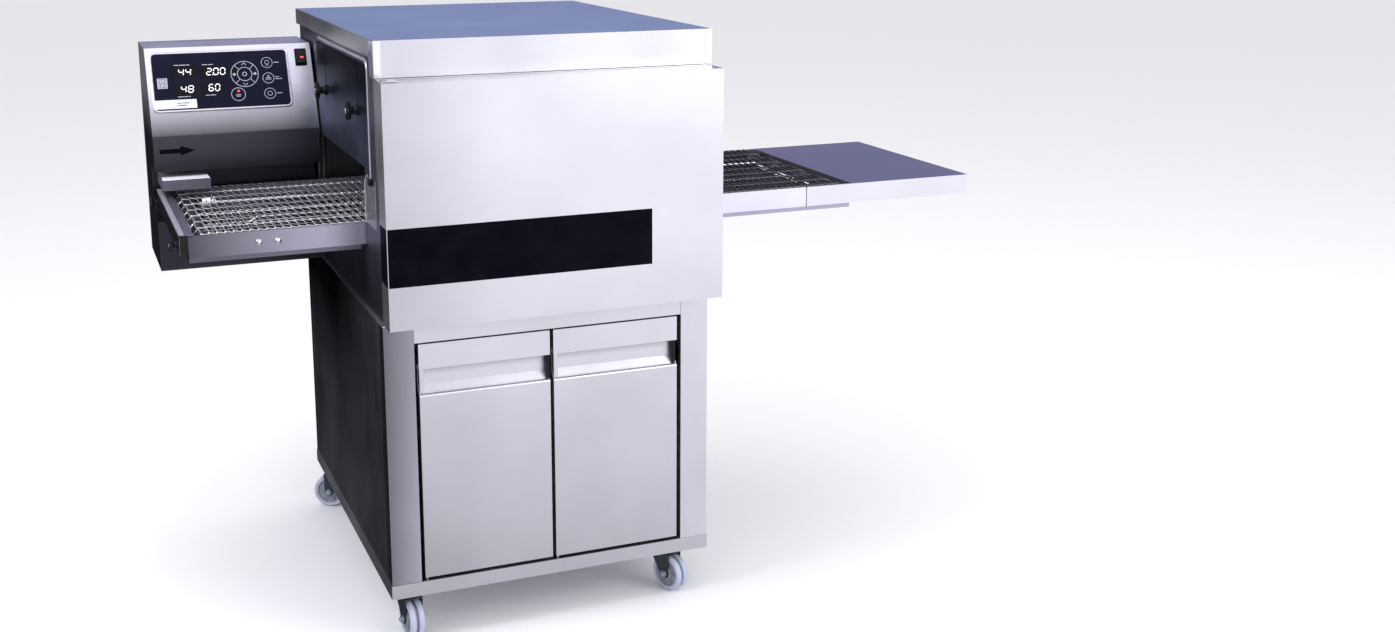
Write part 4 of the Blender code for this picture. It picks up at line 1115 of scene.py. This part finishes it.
def toward_share(tree, coord, toward, start, end, low=0.0, high=1.0):
    """How far the looked-in direction lies within a soft field round another direction."""
    dot = node(tree, "ShaderNodeVectorMath", operation="DOT_PRODUCT")
    dot.inputs[1].default_value = Vector(toward).normalized()
    tree.links.new(coord.outputs["Generated"], dot.inputs[0])
    return remap(tree, dot.outputs["Value"], low, high, start, end, "SMOOTHSTEP")


def studio():
    """Pale floor, soft lights, a room that shows in the steel, and the photo's camera."""
    floor_mesh = bpy.data.meshes.new("floor")
    bm = bmesh.new()
    bmesh.ops.create_grid(bm, x_segments=2, y_segments=2, size=60)
    bm.to_mesh(floor_mesh)
    bm.free()
    floor = add_object("studio_floor", floor_mesh)
    settings = {"Roughness": 0.9, "Specular IOR Level": 0.1}
    made, tree, shader = new_material("floor_paint", settings)
    clouds = noise(tree, 0.03, detail=3)
    paint = blend_colours(tree, remap(tree, clouds, 0, 1), (0.82, 0.82, 0.85), (0.86, 0.86, 0.89))
    tree.links.new(paint, shader.inputs["Base Color"])
    floor_mesh.materials.append(made)
    floor.visible_glossy = False

    world = bpy.data.worlds.new("studio")
    bpy.context.scene.world = world
    world.use_nodes = True
    tree = world.node_tree
    coord = tree.nodes.new("ShaderNodeTexCoord")
    total = None
    for toward, start, end, power in ROOM:
        field = node(tree, "ShaderNodeVectorMath", operation="SCALE")
        field.inputs[0].default_value = power
        tree.links.new(toward_share(tree, coord, toward, start, end), field.inputs["Scale"])
        if total is None:
            total = field.outputs["Vector"]
            continue
        add = node(tree, "ShaderNodeVectorMath", operation="ADD")
        tree.links.new(total, add.inputs[0])
        tree.links.new(field.outputs["Vector"], add.inputs[1])
        total = add.outputs["Vector"]
    toward, start, end, least = SHADE
    shade = toward_share(tree, coord, toward, start, end, 1.0, least)
    sky = tree.nodes["Background"]
    tree.links.new(total, sky.inputs["Color"])
    tree.links.new(shade, sky.inputs["Strength"])
    white = node(tree, "ShaderNodeBackground", Color=(1, 1, 1, 1), Strength=AMBIENT)
    mix = tree.nodes.new("ShaderNodeMixShader")
    rays = tree.nodes.new("ShaderNodeLightPath")
    tree.links.new(rays.outputs["Is Glossy Ray"], mix.inputs["Fac"])
    tree.links.new(white.outputs["Background"], mix.inputs[1])
    tree.links.new(sky.outputs["Background"], mix.inputs[2])
    tree.links.new(mix.outputs["Shader"], tree.nodes["World Output"].inputs["Surface"])

    def area(name, place, target, size, power, colour=(1, 1, 1), glossy=True):
        light = bpy.data.lights.new(name, "AREA")
        light.shape = "RECTANGLE"
        light.size, light.size_y = size
        light.energy = power
        light.color = colour
        lamp = add_object(name, light)
        lamp.location = place
        lamp.visible_glossy = glossy
        aim = Vector(target) - Vector(place)
        lamp.rotation_euler = aim.to_track_quat("-Z", "Y").to_euler()

    area("key", (2.6, -3.6, 2.6), (0.0, -0.4, 0.8), (2.6, 2.2), 84, (1.0, 0.98, 1.0))
    area("side", (-2.3, -0.6, 2.9), (-0.7, 0.0, 0.85), (1.2, 1.2), 45, (0.95, 0.97, 1.0))
    area("over", (0.0, -1.0, 6.0), (0.0, -0.4, 0.0), (7.0, 7.0), 110, glossy=False)

    view = bpy.data.cameras.new("camera")
    view.lens, view.sensor_width = LENS, SENSOR
    view.shift_x, view.shift_y = SHIFT
    camera = add_object("camera", view)
    camera.location = at(*CAMERA)
    camera.rotation_euler = (math.pi / 2 - DOWN, 0, -TURN)
    bpy.context.scene.camera = camera
    bpy.context.scene.view_settings.view_transform = "Standard"


dress_cad()
wire_belt()
belt_supports()
tray_floors()
end_bar_details()
rail_details()
for knob in [n for n in NODES if "_knob_" in n]:
    star_knob(knob)
side_frame("oven_infeed_side", -1)
side_frame("oven_outfeed_side", 1)
mouth_jambs()
cover_details()
door_band()
stand_details()
castor_details()
keypad()
rocker()
direction_arrow()
studio()
